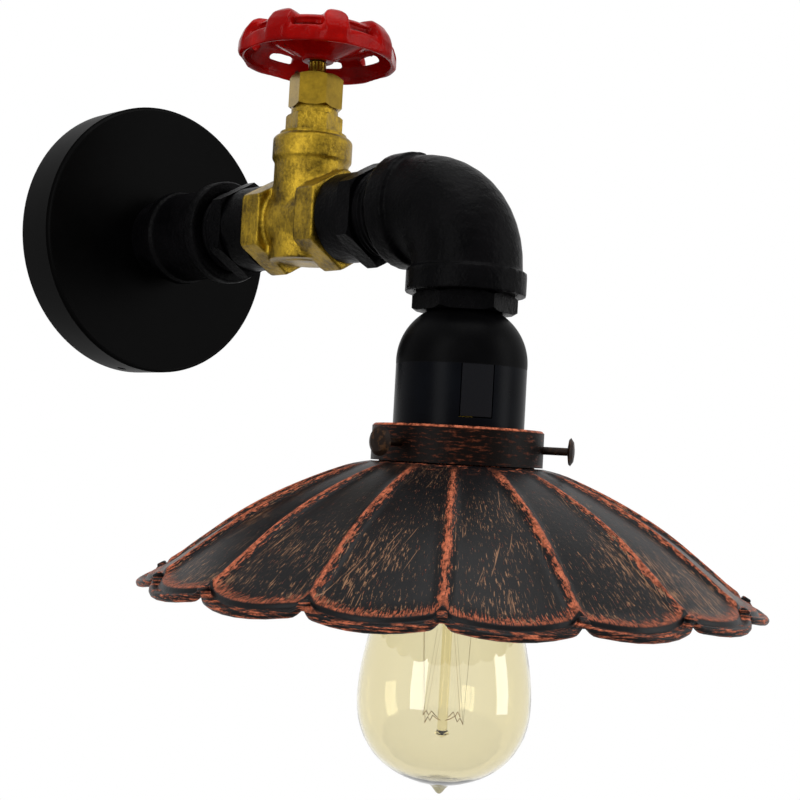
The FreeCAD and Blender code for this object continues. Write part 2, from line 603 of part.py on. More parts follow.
def handwheel():
    """Dished casting: a wall that leans in, a top ring, humps that bridge the two with a
    window between each pair, and a cone that runs down to the hub."""
    n = int(round(wheel_lobes.number))
    r, h = wheel_r.number, wheel_dish.number
    w, hub, hr = wheel_wall.number, wheel_hub_r.number, wheel_hump.number
    z0 = wheel_low.number - 0.6
    rim = ring_of([(r - w, z0), (r - 0.9, z0), (r, z0 + 0.08 * h), (r * 0.975, z0 + 0.25 * h),
                   (r * 0.925, z0 + 0.46 * h), (r * 0.80, z0 + 0.74 * h),
                   (r * 0.74, z0 + 0.83 * h), (r * 0.64, z0 + 0.84 * h),
                   (r * 0.57, z0 + 0.76 * h), (hub - 0.5, z0 + 0.40 * h),
                   (hub - 0.5, z0 + 0.12 * h), (r * 0.58, z0 + 0.54 * h),
                   (r * 0.66, z0 + 0.64 * h), (r * 0.74, z0 + 0.61 * h),
                   (r * 0.84, z0 + 0.44 * h), (r - w - 0.6, z0 + 0.2 * h)])
    swell = ring_of([(r - w, z0 + 0.1 * h), (r, z0 + 0.1 * h), (r * 0.995, z0 + 0.36 * h),
                     (r * 0.95, z0 + 0.62 * h), (r * 0.87, z0 + 0.86 * h),
                     (r * 0.79, z0 + 0.97 * h), (r * 0.72, z0 + h), (r * 0.64, z0 + 0.97 * h),
                     (r * 0.57, z0 + 0.86 * h), (r * 0.52, z0 + 0.62 * h),
                     (r * 0.66, z0 + 0.66 * h), (r * 0.76, z0 + 0.58 * h),
                     (r * 0.85, z0 + 0.42 * h)])
    ridges = []
    windows = []
    sides = []
    for i in range(n):
        turn = wheel_turn.number + 360.0 * i / n
        back = Part.makeCylinder(hr, r, V(r * 0.3, 0, z0 + h - hr), V(1, 0, 0))
        foot = Part.makeBox(r, 2 * hr, h - hr, V(r * 0.3, -hr, z0))
        wide = 2 * math.pi * r * 0.86 / n - 2 * hr
        slot = Part.makeBox(r * 0.36, wide, 0.25 * h, V(r * 0.78, -wide / 2, z0 + 0.44 * h))
        side = Part.makeCylinder(r * 3, h * 2, V(r * 3.945, 0, z0 - h / 2), V(0, 0, 1))
        for s in (back, foot):
            s.rotate(V(0, 0, 0), V(0, 0, 1), turn)
            ridges.append(s)
        for s, group in ((slot, windows), (side, sides)):
            s.rotate(V(0, 0, 0), V(0, 0, 1), turn + 180.0 / n)
            group.append(s)
    humps = swell.common(ridges[0].multiFuse(ridges[1:]))
    whole = rim.cut(windows[0].multiFuse(windows[1:])).fuse(humps)
    for side in sides:
        whole = whole.cut(side)
    boss = Part.makeCylinder(hub, wheel_high.number, V(0, 0, wheel_low.number))
    whole = whole.fuse(boss)
    bore = Part.makeCylinder(spindle_r.number - 0.6 + 0.05, h * 3, V(0, 0, wheel_low.number - h))
    return whole.cut(bore).removeSplitter()


shape_part("handwheel", handwheel(), FreeCAD.Placement(V(0, -valve_axis.number, 0),
                                                       FreeCAD.Rotation()))

# -------------------------------------------------------------------- elbow
ELBOW = FreeCAD.Rotation(V(0, 0, 1), V(0, -1, 0), V(1, 0, 0), "XYZ")


def elbow_run(name, r, bore_r, bore_in):
    """One pass of the elbow: a quarter ring, two straight ends and two wider mouths."""
    ring = doc.addObject("Part::Torus", name + "_bend")
    ring.setExpression("Radius1", elbow_bend.text)
    ring.setExpression("Radius2", as_size(r).text)
    ring.Angle1 = -180
    ring.Angle2 = 180
    ring.Angle3 = 90
    at(ring, y=-(arm_len - elbow_bend), z=-elbow_bend, rotation=ELBOW)
    arm_end = at(cylinder(name + "_arm", r, elbow_face - elbow_bend), y=-elbow_start,
                 rotation=ALONG)
    lamp_end = at(cylinder(name + "_lamp", r, elbow_face - elbow_bend), y=-arm_len,
                  z=-elbow_face)
    arm_mouth = at(cylinder(name + "_arm_mouth", bore_r, bore_in), y=-elbow_start,
                   rotation=ALONG)
    lamp_mouth = at(cylinder(name + "_lamp_mouth", bore_r, bore_in), y=-arm_len,
                    z=-elbow_face)
    return fuse(name, [ring, arm_end, lamp_end, arm_mouth, lamp_mouth])


elbow_out = elbow_run("ElbowOutside", elbow_r, elbow_bead_r, elbow_bead)
elbow_in = elbow_run("ElbowInside", elbow_bore, big_r + thread_gap, big_in + 1)
keep(cut("Elbow", elbow_out, elbow_in), "elbow")

# -------------------------------------------------------------------- lampholder
plug_low = -(elbow_face + plug_hex)
entry_bore = stem_pipe_r + thread_gap
plug_lathe = on_lamp("PlugTurned", [
    (entry_bore, plug_low), (plug_af / 2 - 2, plug_low), (plug_af / 2 - 2, -elbow_face),
    (big_r, -elbow_face), (big_r, -(elbow_face - big_in)), (entry_bore, -(elbow_face - big_in))])
plug_nut = hex_up("PlugHex", plug_af, plug_low, plug_hex, 1.6, -arm_len, -47)
plug_hole = at(cylinder("PlugHexHole", entry_bore, plug_hex + 2), y=-arm_len, z=plug_low - 1)
keep(fuse("LampPlug", [plug_lathe, cut("PlugHexRing", plug_nut, plug_hole)]), "lamp_plug")

dome_low = plug_low - dome_high
skirt_low = dome_low - skirt_high
keep(on_lamp("EntryNipple", [
    (stem_pipe_bore, plug_low - 8), (stem_pipe_r, plug_low - 8),
    (stem_pipe_r, -(elbow_face - big_in)), (stem_pipe_bore, -(elbow_face - big_in))]),
    "entry_nipple")

dome_round = size("holder_dome_round", 21.0, "radius of the dome's curve")
doc.recompute()
cap_blank = on_lamp("HolderDomeTurned", [
    (entry_bore, plug_low), (holder_top_r, plug_low, -dome_round), (holder_r, dome_low),
    (holder_r - holder_wall, dome_low, dome_round), (holder_top_r - 1, plug_low - holder_wall - 1),
    (entry_bore, plug_low - holder_wall - 1)])
skirt_blank = on_lamp("HolderSkirtTurned", [
    (holder_r - holder_wall, dome_low), (holder_r, dome_low), (holder_r, skirt_low),
    (holder_thread_r, skirt_low), (holder_thread_r, skirt_low - holder_spigot),
    (holder_thread_r - holder_wall, skirt_low - holder_spigot),
    (holder_thread_r - holder_wall, skirt_low + holder_wall),
    (holder_r - holder_wall, skirt_low + holder_wall)])


def tab_boxes(name, extra, long):
    """The two snap tab windows, on opposite sides of the holder."""
    pair = []
    for k in (0, 1):
        bar = box("%s_bar%d" % (name, k), tab_wide + extra * 2, holder_r + 4, long,
                  -(tab_wide / 2 + extra), -(holder_r + 4), dome_low - long)
        hold = doc.addObject("Part::Compound", "%s_side%d" % (name, k))
        hold.Links = [bar]
        hold.Placement = FreeCAD.Placement(
            V(0, 0, 0), FreeCAD.Rotation(V(0, 0, 1), tab_turn.number + 180 * k))
        pair.append(hold)
    both = doc.addObject("Part::Compound", name)
    both.Links = pair
    at(both, y=-arm_len)
    return both


tab_hole = tab_boxes("TabWindow", tab_gap, tab_long + tab_gap)
tab_fill = tab_boxes("TabLeaf", 0.0, tab_long)
tab_shell = on_lamp("TabShell", [
    (holder_r - holder_wall, dome_low - tab_long - 1), (holder_r, dome_low - tab_long - 1),
    (holder_r, dome_low), (holder_r - holder_wall, dome_low)])
keep(fuse("HolderDome", [cap_blank, common("TabLeaves", tab_shell, tab_fill)]), "holder_dome")
keep(cut("HolderSkirt", skirt_blank, tab_hole), "holder_skirt")

cap_low = skirt_low - holder_spigot + 0.8
cap_top = cap_low + cap_high
shell_gap = thread_gap + 0.05
core_low = cap_top + 3.0
core_r = holder_thread_r - holder_wall - 0.3
keep(on_lamp("ScrewShell", [
    (cap_r + shell_gap, cap_low + 1), (cap_r + shell_gap + 0.6, cap_low + 1),
    (cap_r + shell_gap + 0.6, core_low), (cap_r + shell_gap, core_low)]), "screw_shell")
keep(on_lamp("HolderCore", [
    (0, core_low), (core_r, core_low), (core_r, core_low + 9), (0, core_low + 9)]), "holder_core")
keep(on_lamp("CentreContact", [
    (0, cap_top + 0.3), (2.4, cap_top + 0.3), (3.4, core_low), (0, core_low)]),
    "centre_contact")

# -------------------------------------------------------------------- gallery and shade
gallery_low = skirt_low - gallery_high
keep(on_lamp("GalleryTurned", [
    (holder_thread_r + thread_gap, skirt_low), (gallery_r - 0.8, skirt_low),
    (gallery_r, skirt_low - 0.8), (gallery_r, gallery_low),
    (gallery_r - gallery_wall, gallery_low), (gallery_r - gallery_wall, skirt_low - gallery_wall),
    (holder_thread_r + thread_gap, skirt_low - gallery_wall)]), "gallery_blank")
gallery_blank = parts.pop("gallery_blank")
thumb_z = gallery_low + collar_neck_high - shade_thick - thumb_r - 0.7
drills = []
for k in range(3):
    one = cylinder("ThumbDrill%d" % k, thumb_r + 0.05, gallery_r + 5)
    one.Placement = FreeCAD.Placement(V(0, 0, 0), FreeCAD.Rotation(
        V(0, 0, 1), direction(thumb_turn.number + 120 * k)))
    drills.append(one)
drill_set = doc.addObject("Part::Compound", "ThumbDrills")
drill_set.Links = drills
at(drill_set, y=-arm_len, z=thumb_z)
keep(cut("Gallery", gallery_blank, drill_set), "shade_gallery")
keep(on_lamp("ShadeRingNut", [
    (holder_thread_r + thread_gap, skirt_low - gallery_wall),
    (ring_nut_r - 0.8, skirt_low - gallery_wall), (ring_nut_r, skirt_low - gallery_wall - 0.8),
    (ring_nut_r, skirt_low - gallery_wall - ring_nut_high + 0.8),
    (ring_nut_r - 0.8, skirt_low - gallery_wall - ring_nut_high),
    (holder_thread_r + thread_gap, skirt_low - gallery_wall - ring_nut_high)]), "shade_ring_nut")
doc.recompute()


def thumbscrew():
    """Slim screw with a flat mushroom head; its tip bears on the shade's neck."""
    tip = collar_neck_r.number + 0.02
    edge = gallery_r.number
    neck = edge + thumb_show.number
    r, hr, ht = thumb_r.number, thumb_head_r.number, thumb_head.number
    pts = [(0, tip), (r, tip), (r, neck), (hr - 0.6, neck + 0.5), (hr, neck + 1.1),
           (hr * 0.7, neck + ht - 0.3), (hr * 0.3, neck + ht), (0, neck + ht)]
    wire = Part.makePolygon([V(a, 0, b) for a, b in pts + [pts[0]]])
    return Part.Face(wire).revolve(V(0, 0, 0), V(0, 0, 1), 360)


for k in range(3):
    way = direction(thumb_turn.number + 120 * k)
    place = FreeCAD.Placement(V(0, -arm_len.number, thumb_z.number),
                              FreeCAD.Rotation(V(0, 0, 1), way))
    shape_part("thumbscrew_%d" % (k + 1), thumbscrew(), place)


def shade():
    """Pressed sheet: 16 panels between raised ribs, trimmed to a lobed outline, with a
    rolled edge and an upright neck with a lip."""
    n = int(round(shade_panels.number))
    half = math.pi / n
    t = shade_thick.number
    neck = collar_neck_r.number
    top = gallery_low.number - 0.3
    rn = notch_r.number
    rl = rn + lobe_out.number
    # Share of the run from neck to notch against the share of the drop: an umbrella curve.
    run = [(0.0, 0.0), (0.17, 0.065), (0.42, 0.26), (0.63, 0.48), (0.83, 0.755),
           (1.0, 1.0), (1.11, 1.10)]
    rise = [0.05, 0.45, 0.75, 0.88, 0.96, 1.0, 1.0]
    wires = []
    for (share, fall), up in zip(run, rise):
        r = neck + (rn - neck) * share
        zr = top - shade_drop.number * fall
        zp = zr - rib_rise.number * up
        w = r * math.tan(half)
        b = min(rib_half.number, w * 0.42)
        over = [V(r, -w, zr), V(r, -w + b, zp + 0.25 * up), V(r, 0, zp - 0.35 * up),
                V(r, w - b, zp + 0.25 * up), V(r, w, zr)]
        under = [p - V(0, 0, t) for p in over]
        edges = [Part.LineSegment(over[0], over[1]), Part.Arc(over[1], over[2] + V(0, 0, 1e-3), over[3]),
                 Part.LineSegment(over[3], over[4]), Part.LineSegment(over[4], under[4]),
                 Part.LineSegment(under[4], under[3]), Part.Arc(under[3], under[2] + V(0, 0, 1e-3), under[1]),
                 Part.LineSegment(under[1], under[0]), Part.LineSegment(under[0], over[0])]
        wires.append(Part.Wire([e.toShape() for e in edges]))
    panel = Part.makeLoft(wires, True, False)
    panels = []
    for i in range(n):
        one = panel.copy()
        one.rotate(V(0, 0, 0), V(0, 0, 1), 360.0 * i / n)
        panels.append(one)
    skin = panels[0].multiFuse(panels[1:])
    # Lobed outline in plan.
    arcs = []
    mids = []
    for i in range(n):
        a = 2 * half * i
        p = V(rn * math.cos(a - half), rn * math.sin(a - half), 0)
        q = V(rn * math.cos(a + half), rn * math.sin(a + half), 0)
        m = V(rl * math.cos(a), rl * math.sin(a), 0)
        arcs.append(Part.Arc(p, m, q).toShape())
        mids.append((p, m, q))
    z_low = top - shade_drop.number * 1.4
    outline = Part.Face(Part.Wire(arcs))
    outline.translate(V(0, 0, z_low))
    trim = outline.extrude(V(0, 0, top + 2 - z_low))
    skin = skin.common(trim)
    # Rolled edge, one arc per panel with a knuckle at each rib.
    over_run = (rl - rn) / (rn - neck) * 0.91
    low_z = top - shade_drop.number * (1.0 + over_run) - rib_rise.number - 0.35
    tip_z = top - shade_drop.number - t / 2
    beads = []
    br = bead_r.number
    for p, m, q in mids:
        a = V(p.x, p.y, tip_z)
        b = V(m.x, m.y, low_z - t / 2)
        c = V(q.x, q.y, tip_z)
        arc = Part.Arc(a, b, c)
        start = arc.tangent(arc.FirstParameter)[0]
        ring = Part.Wire([Part.Circle(a, start, br).toShape()])
        pipe = Part.Wire([arc.toShape()]).makePipeShell([ring], True, False)
        beads.append(pipe)
        beads.append(Part.makeSphere(br * 1.12, a))
    collar = ring_of([(neck - t, top - 3), (neck, top - 3), (neck, top + collar_neck_high.number - t),
                      (neck + shade_lip.number, top + collar_neck_high.number - t / 2),
                      (neck + shade_lip.number, top + collar_neck_high.number),
                      (neck - t, top + collar_neck_high.number)])
    join = ring_of([(neck - t, top - 2.6), (neck - t, top), (neck + 3, top - 0.1), (neck + 3, top - 2.0)])
    return skin.multiFuse(beads + [collar, join])


shade_place = FreeCAD.Placement(
    V(0, -arm_len.number, 0),
    FreeCAD.Rotation(V(0, 0, 1), shade_turn.number - 90 + 180.0 / shade_panels.number))
shape_part("shade", shade(), shade_place)

# -------------------------------------------------------------------- bulb
glass_top = cap_low + 1.5
glass_r = cap_r - 1.0
wide_z = cap_low - bulb_wide
tip_z = cap_low - bulb_long


def glass(name, inset):
    """Pear-shaped envelope as a turned profile of arcs, shrunk by an inset."""
    k = as_size(inset)
    neck_z = cap_low - 8.0
    return on_lamp(name, [
        (0, glass_top), (glass_r - k, glass_top), (glass_r - k, neck_z, 170.0),
        (bulb_r * 0.90 - k, wide_z + 26.0, -95.0), (bulb_r - k, wide_z, -(bulb_r + 4.0)),
        (bulb_r * 0.62 - k, wide_z - 22.0 + k, -(bulb_r * 0.9)),
        (3.0, tip_z + 4.5 + k), (0.8, tip_z + k), (0, tip_z + k)])


glass_out = glass("GlassOutside", 0.0)
glass_in = glass("GlassInside", bulb_wall)
keep(cut("BulbGlass", glass_out, glass_in), "bulb_glass")
cap_shell = on_lamp("CapTurned", [
    (glass_r + 0.05, cap_low), (cap_r, cap_low), (cap_r, cap_top - 5), (cap_r - 4, cap_top - 3),
    (6.0, cap_top - 1.5), (5.0, cap_top), (0, cap_top), (0, glass_top + 0.1),
    (glass_r + 0.05, glass_top + 0.1)])
keep(cap_shell, "bulb_cap")
rod_low = wide_z - 11.0
keep(on_lamp("GlassStem", [
    (0, glass_top - 1.2), (glass_r - bulb_wall - 0.3, glass_top - 1.2),
    (5.0, glass_top - 10), (4.0, glass_top - 24), (rod_r, glass_top - 30),
    (rod_r, rod_low + 1.5), (rod_r + 0.8, rod_low), (0, rod_low - 1.5)]), "bulb_stem")
doc.recompute()


def route(points, radius, wire_r):
    """A tube along straight runs joined by tangent arcs of one radius."""
    edges = []
    last = points[0]
    for i in range(1, len(points) - 1):
        p, q = points[i] - points[i - 1], points[i + 1] - points[i]
        p.normalize()
        q.normalize()
        turn = p.getAngle(q)
        r = radius[i - 1] if isinstance(radius, list) else radius
        back = r * math.tan(turn / 2)
        a = points[i] - p * back
        c = points[i] + q * back
        bis = (q - p)
        bis.normalize()
        centre = points[i] + bis * (r / math.cos(turn / 2))
        mid = centre - bis * r
        edges.append(Part.LineSegment(last, a).toShape())
        edges.append(Part.Arc(a, mid, c).toShape())
        last = c
    edges.append(Part.LineSegment(last, points[-1]).toShape())
    path = Part.Wire(edges)
    first = points[1] - points[0]
    ring = Part.Wire([Part.Circle(points[0], first, wire_r).toShape()])
    tube = path.makePipeShell([ring], True, False)
    print("route length %.1f volume ratio %.4f" % (
        path.Length, tube.Volume / (path.Length * math.pi * wire_r * wire_r)))
    return tube


# Filament: a zigzag of wire between hooks round the glass rod.
fil_high = size("filament_height", 58.0, "filament zigzag height")
fil_r = size("filament_circle", 9.5, "radius of the filament's hook circle")
doc.recompute()


def filament():
    z_top = wide_z.number + fil_high.number - 8
    z_bot = wide_z.number - 6.0
    n = 8
    pts = []
    for i in range(n):
        a = 2 * math.pi * i / n
        r = fil_r.number
        z = z_top if i % 2 else z_bot
        pts.append(V(r * math.cos(a), r * math.sin(a), z))
    solids = []
    for i in range(n - 1):
        d = pts[i + 1] - pts[i]
        solids.append(Part.makeCylinder(0.25, d.Length, pts[i], d))
        solids.append(Part.makeSphere(0.3, pts[i]))
    whole = solids[0].multiFuse(solids[1:])
    arms = []
    for i in range(n):
        d = V(pts[i].x, pts[i].y, 0)
        d.normalize()
        start = d * rod_r.number + V(0, 0, pts[i].z)
        arms.append(Part.makeCylinder(0.25, fil_r.number - rod_r.number, start, d))
    return whole.multiFuse(arms)


shape_part("bulb_filament", filament(), FreeCAD.Placement(V(0, -arm_len.number, 0),
                                                          FreeCAD.Rotation()))

# -------------------------------------------------------------------- leads inside the arm
turn_in = math.radians(-screw_turn.number)


def strap_point(x, d, z):
    """A point given in the strap's own turned frame."""
    v = screw_spin.multVec(V(x, -d, z))
    return v


lead_from = block_z.number - block_high.number / 2 - 0.3
lead_d = strap_thick.number + block_deep.number / 2
in_core = core_low.number + 9.2
for k, node in ((-1, "live_lead"), (1, "neutral_lead")):
    x = k * block_wide.number / 4
    side_x = k * 1.5
    start = strap_point(x, lead_d, lead_from + 6.0)
    below = strap_point(x, lead_d, 1.0)
    pts = [start, V(below.x, -lead_d, 1.0), V(side_x, -30.0, -1.0 + 0 * k),
           V(side_x, -arm_len.number, -1.0), V(side_x, -arm_len.number, in_core)]
    shape_part(node, route(pts, [3.5, 6.0, 12.0], lead_r.number))
e0 = strap_point(0, strap_thick.number + 2.6 + lead_r.number + 0.1, earth_z.number - 3.0)
e1 = strap_point(0, strap_thick.number + 2.6 + lead_r.number + 0.1, -6.0)
shape_part("earth_lead", route([e0, e1, V(0, -40.0, -4.8), V(0, -55.0, -8.6)],
                               [5.0, 5.0], lead_r.number))

# -------------------------------------------------------------------- check and write
doc.recompute()
bad = [o.Name for o in doc.Objects if "Invalid" in o.State or "Error" in o.State]
if bad:
    raise RuntimeError("objects in error: %s" % ", ".join(bad))
for node, obj in parts.items():
    shape = obj.Shape
    if shape.isNull() or not shape.isValid() or not shape.Solids:
        raise RuntimeError("no valid solid in %s" % node)
os.makedirs("parts", exist_ok=True)
for node, obj in parts.items():
    obj.Shape.exportStep("parts/%s.step" % node)
    b = obj.Shape.BoundBox
    print("%-16s solids %d volume %9.1f  z %.1f..%.1f" % (
        node, len(obj.Shape.Solids), obj.Shape.Volume, b.ZMin, b.ZMax))
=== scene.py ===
# %% [markdown]
# # An industrial pipe wall light
# The lamp is black pipe fittings and a brass valve with a red handwheel, holding a
# scalloped metal shade and a filament bulb. The solid parts arrive as a fixed frame.
# We keep those whose shape is right and give them finishes. We model the pieces whose
# looks depend on soft curves or fine detail: the shade, the castings, the glass and the
# filament, and two short stretches of thread.

# %% Load the frame
import bpy
import math
from mathutils import Matrix, Vector


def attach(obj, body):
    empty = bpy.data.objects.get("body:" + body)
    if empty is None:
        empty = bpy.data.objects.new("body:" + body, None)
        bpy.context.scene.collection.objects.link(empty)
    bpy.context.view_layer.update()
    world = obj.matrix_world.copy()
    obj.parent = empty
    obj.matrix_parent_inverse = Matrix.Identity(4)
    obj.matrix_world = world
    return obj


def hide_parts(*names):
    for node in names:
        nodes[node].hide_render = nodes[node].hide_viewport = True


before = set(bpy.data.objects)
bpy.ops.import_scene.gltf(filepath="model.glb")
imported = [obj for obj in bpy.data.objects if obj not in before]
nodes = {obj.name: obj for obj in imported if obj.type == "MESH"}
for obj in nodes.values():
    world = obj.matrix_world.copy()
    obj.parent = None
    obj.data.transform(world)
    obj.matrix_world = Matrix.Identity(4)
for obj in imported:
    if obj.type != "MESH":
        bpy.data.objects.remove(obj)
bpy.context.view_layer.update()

# %% [markdown]
# The lamp hangs on an upright axis at the end of the arm, and the valve has its own
# upright axis. Every size below is in metres.

# %% Places on the object
MM = 0.001
LAMP_Y = -0.203
VALVE_Y = -0.117
LAMP_AXIS = (0.0, LAMP_Y, 0.0)
UPRIGHT = (0, 0, 1)
ALONG_ARM = (0, 1, 0)
FULL_TURN = 2 * math.pi


# %% [markdown]
# ## Small helpers for modelling by hand
# Operators act on whatever is selected, so we always clear the selection first.
# A turned piece is drawn as half a profile and spun round its axis.

# %% Helpers
def clear_selection():
    if bpy.context.object and bpy.context.object.mode != "OBJECT":
        bpy.ops.object.mode_set(mode="OBJECT")
    bpy.ops.object.select_all(action="DESELECT")


def hold(piece):
    """Select one piece and make it the active one."""
    clear_selection()
    piece.select_set(True)
    bpy.context.view_layer.objects.active = piece


def settle(piece):
    """Put the place of a piece into its mesh, so that its object sits at the origin."""
    hold(piece)
    bpy.ops.object.transform_apply(location=True, rotation=True, scale=True)


def tidy_normals(piece, merge=0.00001):
    hold(piece)
    bpy.ops.object.mode_set(mode="EDIT")
    bpy.ops.mesh.select_all(action="SELECT")
    bpy.ops.mesh.remove_doubles(threshold=merge)
    bpy.ops.mesh.normals_make_consistent(inside=False)
    bpy.ops.object.mode_set(mode="OBJECT")


def finish_modifiers(piece):
    hold(piece)
    for modifier in list(piece.modifiers):
        bpy.ops.object.modifier_apply(modifier=modifier.name)


def lathe(name, points, centre, axis, steps, merge, sharp_over):
    """Draw a line through the points and spin it once round an axis."""
    clear_selection()
    bpy.ops.mesh.primitive_plane_add(size=0.001, location=points[0])
    piece = bpy.context.object
    piece.name = name
    bpy.ops.object.mode_set(mode="EDIT")
    bpy.ops.mesh.merge(type="CENTER")
    for before, after in zip(points, points[1:]):
        step = tuple(b - a for a, b in zip(before, after))
        bpy.ops.mesh.extrude_region_move(TRANSFORM_OT_translate={"value": step})
    bpy.ops.mesh.select_all(action="SELECT")
    bpy.ops.mesh.spin(steps=steps, angle=FULL_TURN, center=centre, axis=axis)
    bpy.ops.object.mode_set(mode="OBJECT")
    settle(piece)
    tidy_normals(piece, merge)
    bpy.ops.object.shade_smooth_by_angle(angle=math.radians(sharp_over))
    print(name, "faces", len(piece.data.polygons))
    return piece


# %% [markdown]
# ## Finishes
# Each finish is a node material made from noise on Object coordinates, so its grain has
# a real size in metres. Small helpers make the nodes and join their sockets.

# %% Node helpers
def new_finish(name):
    mat = bpy.data.materials.new(name)
    mat.use_nodes = True
    tree = mat.node_tree
    shader = tree.nodes["Principled BSDF"]
    return mat, tree, shader


def maths(tree, operation, a, b=None, clamp=False):
    """One Math node; a and b are sockets or numbers."""
    node = tree.nodes.new("ShaderNodeMath")
    node.operation = operation
    node.use_clamp = clamp
    for index, value in enumerate((a, b)):
        if value is None:
            continue
        if isinstance(value, (int, float)):
            node.inputs[index].default_value = value
        else:
            tree.links.new(value, node.inputs[index])
    return node.outputs[0]


def opposite(tree, value):
    """One minus the value."""
    return maths(tree, "SUBTRACT", 1.0, value)


def ramp(tree, source, low, high):
    """Smooth 0 to 1 between two values of a socket."""
    node = tree.nodes.new("ShaderNodeMapRange")
    node.interpolation_type = "SMOOTHSTEP"
    tree.links.new(source, node.inputs["Value"])
    node.inputs["From Min"].default_value = low
    node.inputs["From Max"].default_value = high
    return node.outputs["Result"]


def spread(tree, source, low, high):
    """Take a noise from 0 to 1 to the range low to high, for an uneven sheen."""
    node = tree.nodes.new("ShaderNodeMapRange")
    node.inputs["To Min"].default_value = low
    node.inputs["To Max"].default_value = high
    tree.links.new(source, node.inputs["Value"])
    return node.outputs["Result"]


def mix_colour(tree, share, a, b):
    node = tree.nodes.new("ShaderNodeMix")
    node.data_type = "RGBA"
    tree.links.new(share, node.inputs[0])
    for index, value in ((6, a), (7, b)):
        if isinstance(value, tuple):
            node.inputs[index].default_value = (*value, 1.0)
        else:
            tree.links.new(value, node.inputs[index])
    return node.outputs[2]


def place(tree, shift=(0.0, 0.0, 0.0)):
    """Object coordinates, moved so that a pattern is centred where we want it."""
    coords = tree.nodes.new("ShaderNodeTexCoord")
    mapping = tree.nodes.new("ShaderNodeMapping")
    mapping.inputs["Location"].default_value = shift
    tree.links.new(coords.outputs["Object"], mapping.inputs["Vector"])
    return mapping.outputs["Vector"]


def grain(tree, where, scale, detail=4.0, rough=0.55):
    node = tree.nodes.new("ShaderNodeTexNoise")
    node.inputs["Scale"].default_value = scale
    node.inputs["Detail"].default_value = detail
    node.inputs["Roughness"].default_value = rough
    tree.links.new(where, node.inputs["Vector"])
    return node.outputs["Fac"]


def relief(tree, shader, height, depth):
    """Bump from a height socket; depth is the real height in metres."""
    node = tree.nodes.new("ShaderNodeBump")
    node.inputs["Strength"].default_value = 1.0
    node.inputs["Distance"].default_value = depth
    tree.links.new(height, node.inputs["Height"])
    tree.links.new(node.outputs["Normal"], shader.inputs["Normal"])


# %% [markdown]
# ### Black painted iron, plate and plastic
# The fittings are cast iron under a soft black paint: the paint follows the sand-cast
# skin, so it has an orange-peel relief and an uneven sheen. The plate is smoother and
# flatter, the plastic holder is a little blue and smooth.

# %% Black finishes
def painted_black(name, colour, worn, sheen_low, sheen_high, grain_scale, depth, gloss):
    mat, tree, shader = new_finish(name)
    shader.inputs["Specular IOR Level"].default_value = gloss
    where = place(tree)
    cloud = grain(tree, where, 55.0, 3.0)
    skin = grain(tree, where, grain_scale, 5.0, 0.6)
    colour_out = mix_colour(tree, ramp(tree, cloud, 0.35, 0.7), colour, worn)
    tree.links.new(colour_out, shader.inputs["Base Color"])
    tree.links.new(spread(tree, cloud, sheen_low, sheen_high), shader.inputs["Roughness"])
    relief(tree, shader, skin, depth)
    return mat


black_iron = painted_black("black_painted_iron", (0.0009, 0.0009, 0.0011),
                           (0.0026, 0.0024, 0.0028), 0.20, 0.42, 480.0, 0.00044, 0.022)
black_plate = painted_black("black_powder_coat", (0.0010, 0.0010, 0.0010),
                            (0.0016, 0.0016, 0.0016), 0.34, 0.46, 1500.0, 0.00003, 0.018)
black_dome = painted_black("black_moulded_dome", (0.0013, 0.0013, 0.0015),
                           (0.0030, 0.0030, 0.0033), 0.30, 0.44, 900.0, 0.00004, 0.018)
black_plastic = painted_black("black_moulded_skirt", (0.0010, 0.0013, 0.0024),
                              (0.0020, 0.0026, 0.0042), 0.22, 0.34, 1800.0, 0.00002, 0.030)

# The tabs hanging from the dome get a painted highlight: they catch more light than the skirt.
TAB_PAINTED_HIGHLIGHT = (0.0105, 0.0108, 0.0125)
TAB_BLEND = 0.0002
skirt_top = max(v.co.z for v in nodes["holder_skirt"].data.vertices)
dome_tree = black_dome.node_tree
dome_shader = dome_tree.nodes["Principled BSDF"]
dome_colour = dome_shader.inputs["Base Color"].links[0].from_socket
split = dome_tree.nodes.new("ShaderNodeSeparateXYZ")
dome_tree.links.new(place(dome_tree), split.inputs[0])
painted_highlight_on_tab = opposite(dome_tree, ramp(dome_tree, split.outputs[2], skirt_top - TAB_BLEND,
                                  skirt_top + TAB_BLEND))
dome_tree.links.new(mix_colour(dome_tree, painted_highlight_on_tab, dome_colour, TAB_PAINTED_HIGHLIGHT),
                    dome_shader.inputs["Base Color"])
print("black finishes ready")


# %% [markdown]
# ### Brass
# The valve body is rough sand-cast brass, olive gold with darker hollows. The gland nut
# and the spindle are turned, so they are smoother and more even.

# %% Brass finishes
def brass(name, light, dark, rough_low, rough_high, grain_scale, depth):
    mat, tree, shader = new_finish(name)
    where = place(tree)
    cloud = grain(tree, where, 90.0, 5.0, 0.6)
    skin = grain(tree, where, grain_scale, 6.0, 0.65)
    tone = maths(tree, "MULTIPLY", cloud, 0.6)
    tone = maths(tree, "ADD", tone, maths(tree, "MULTIPLY", skin, 0.4))
    tree.links.new(mix_colour(tree, ramp(tree, tone, 0.32, 0.66), dark, light),
                   shader.inputs["Base Color"])
    shader.inputs["Metallic"].default_value = 0.92
    tree.links.new(spread(tree, skin, rough_low, rough_high), shader.inputs["Roughness"])
    relief(tree, shader, skin, depth)
    return mat


cast_brass = brass("cast_brass", (0.33, 0.212, 0.016), (0.042, 0.025, 0.002),
                   0.24, 0.50, 620.0, 0.00040)
turned_brass = brass("turned_brass", (0.30, 0.190, 0.015), (0.18, 0.112, 0.009),
                     0.12, 0.26, 420.0, 0.00003)
print("brass finishes ready")


# %% [markdown]
# ### Red enamel
# Thick paint on a rough casting. A low roughness makes it glossy, and a noise makes a few
# small chips that show dark iron.

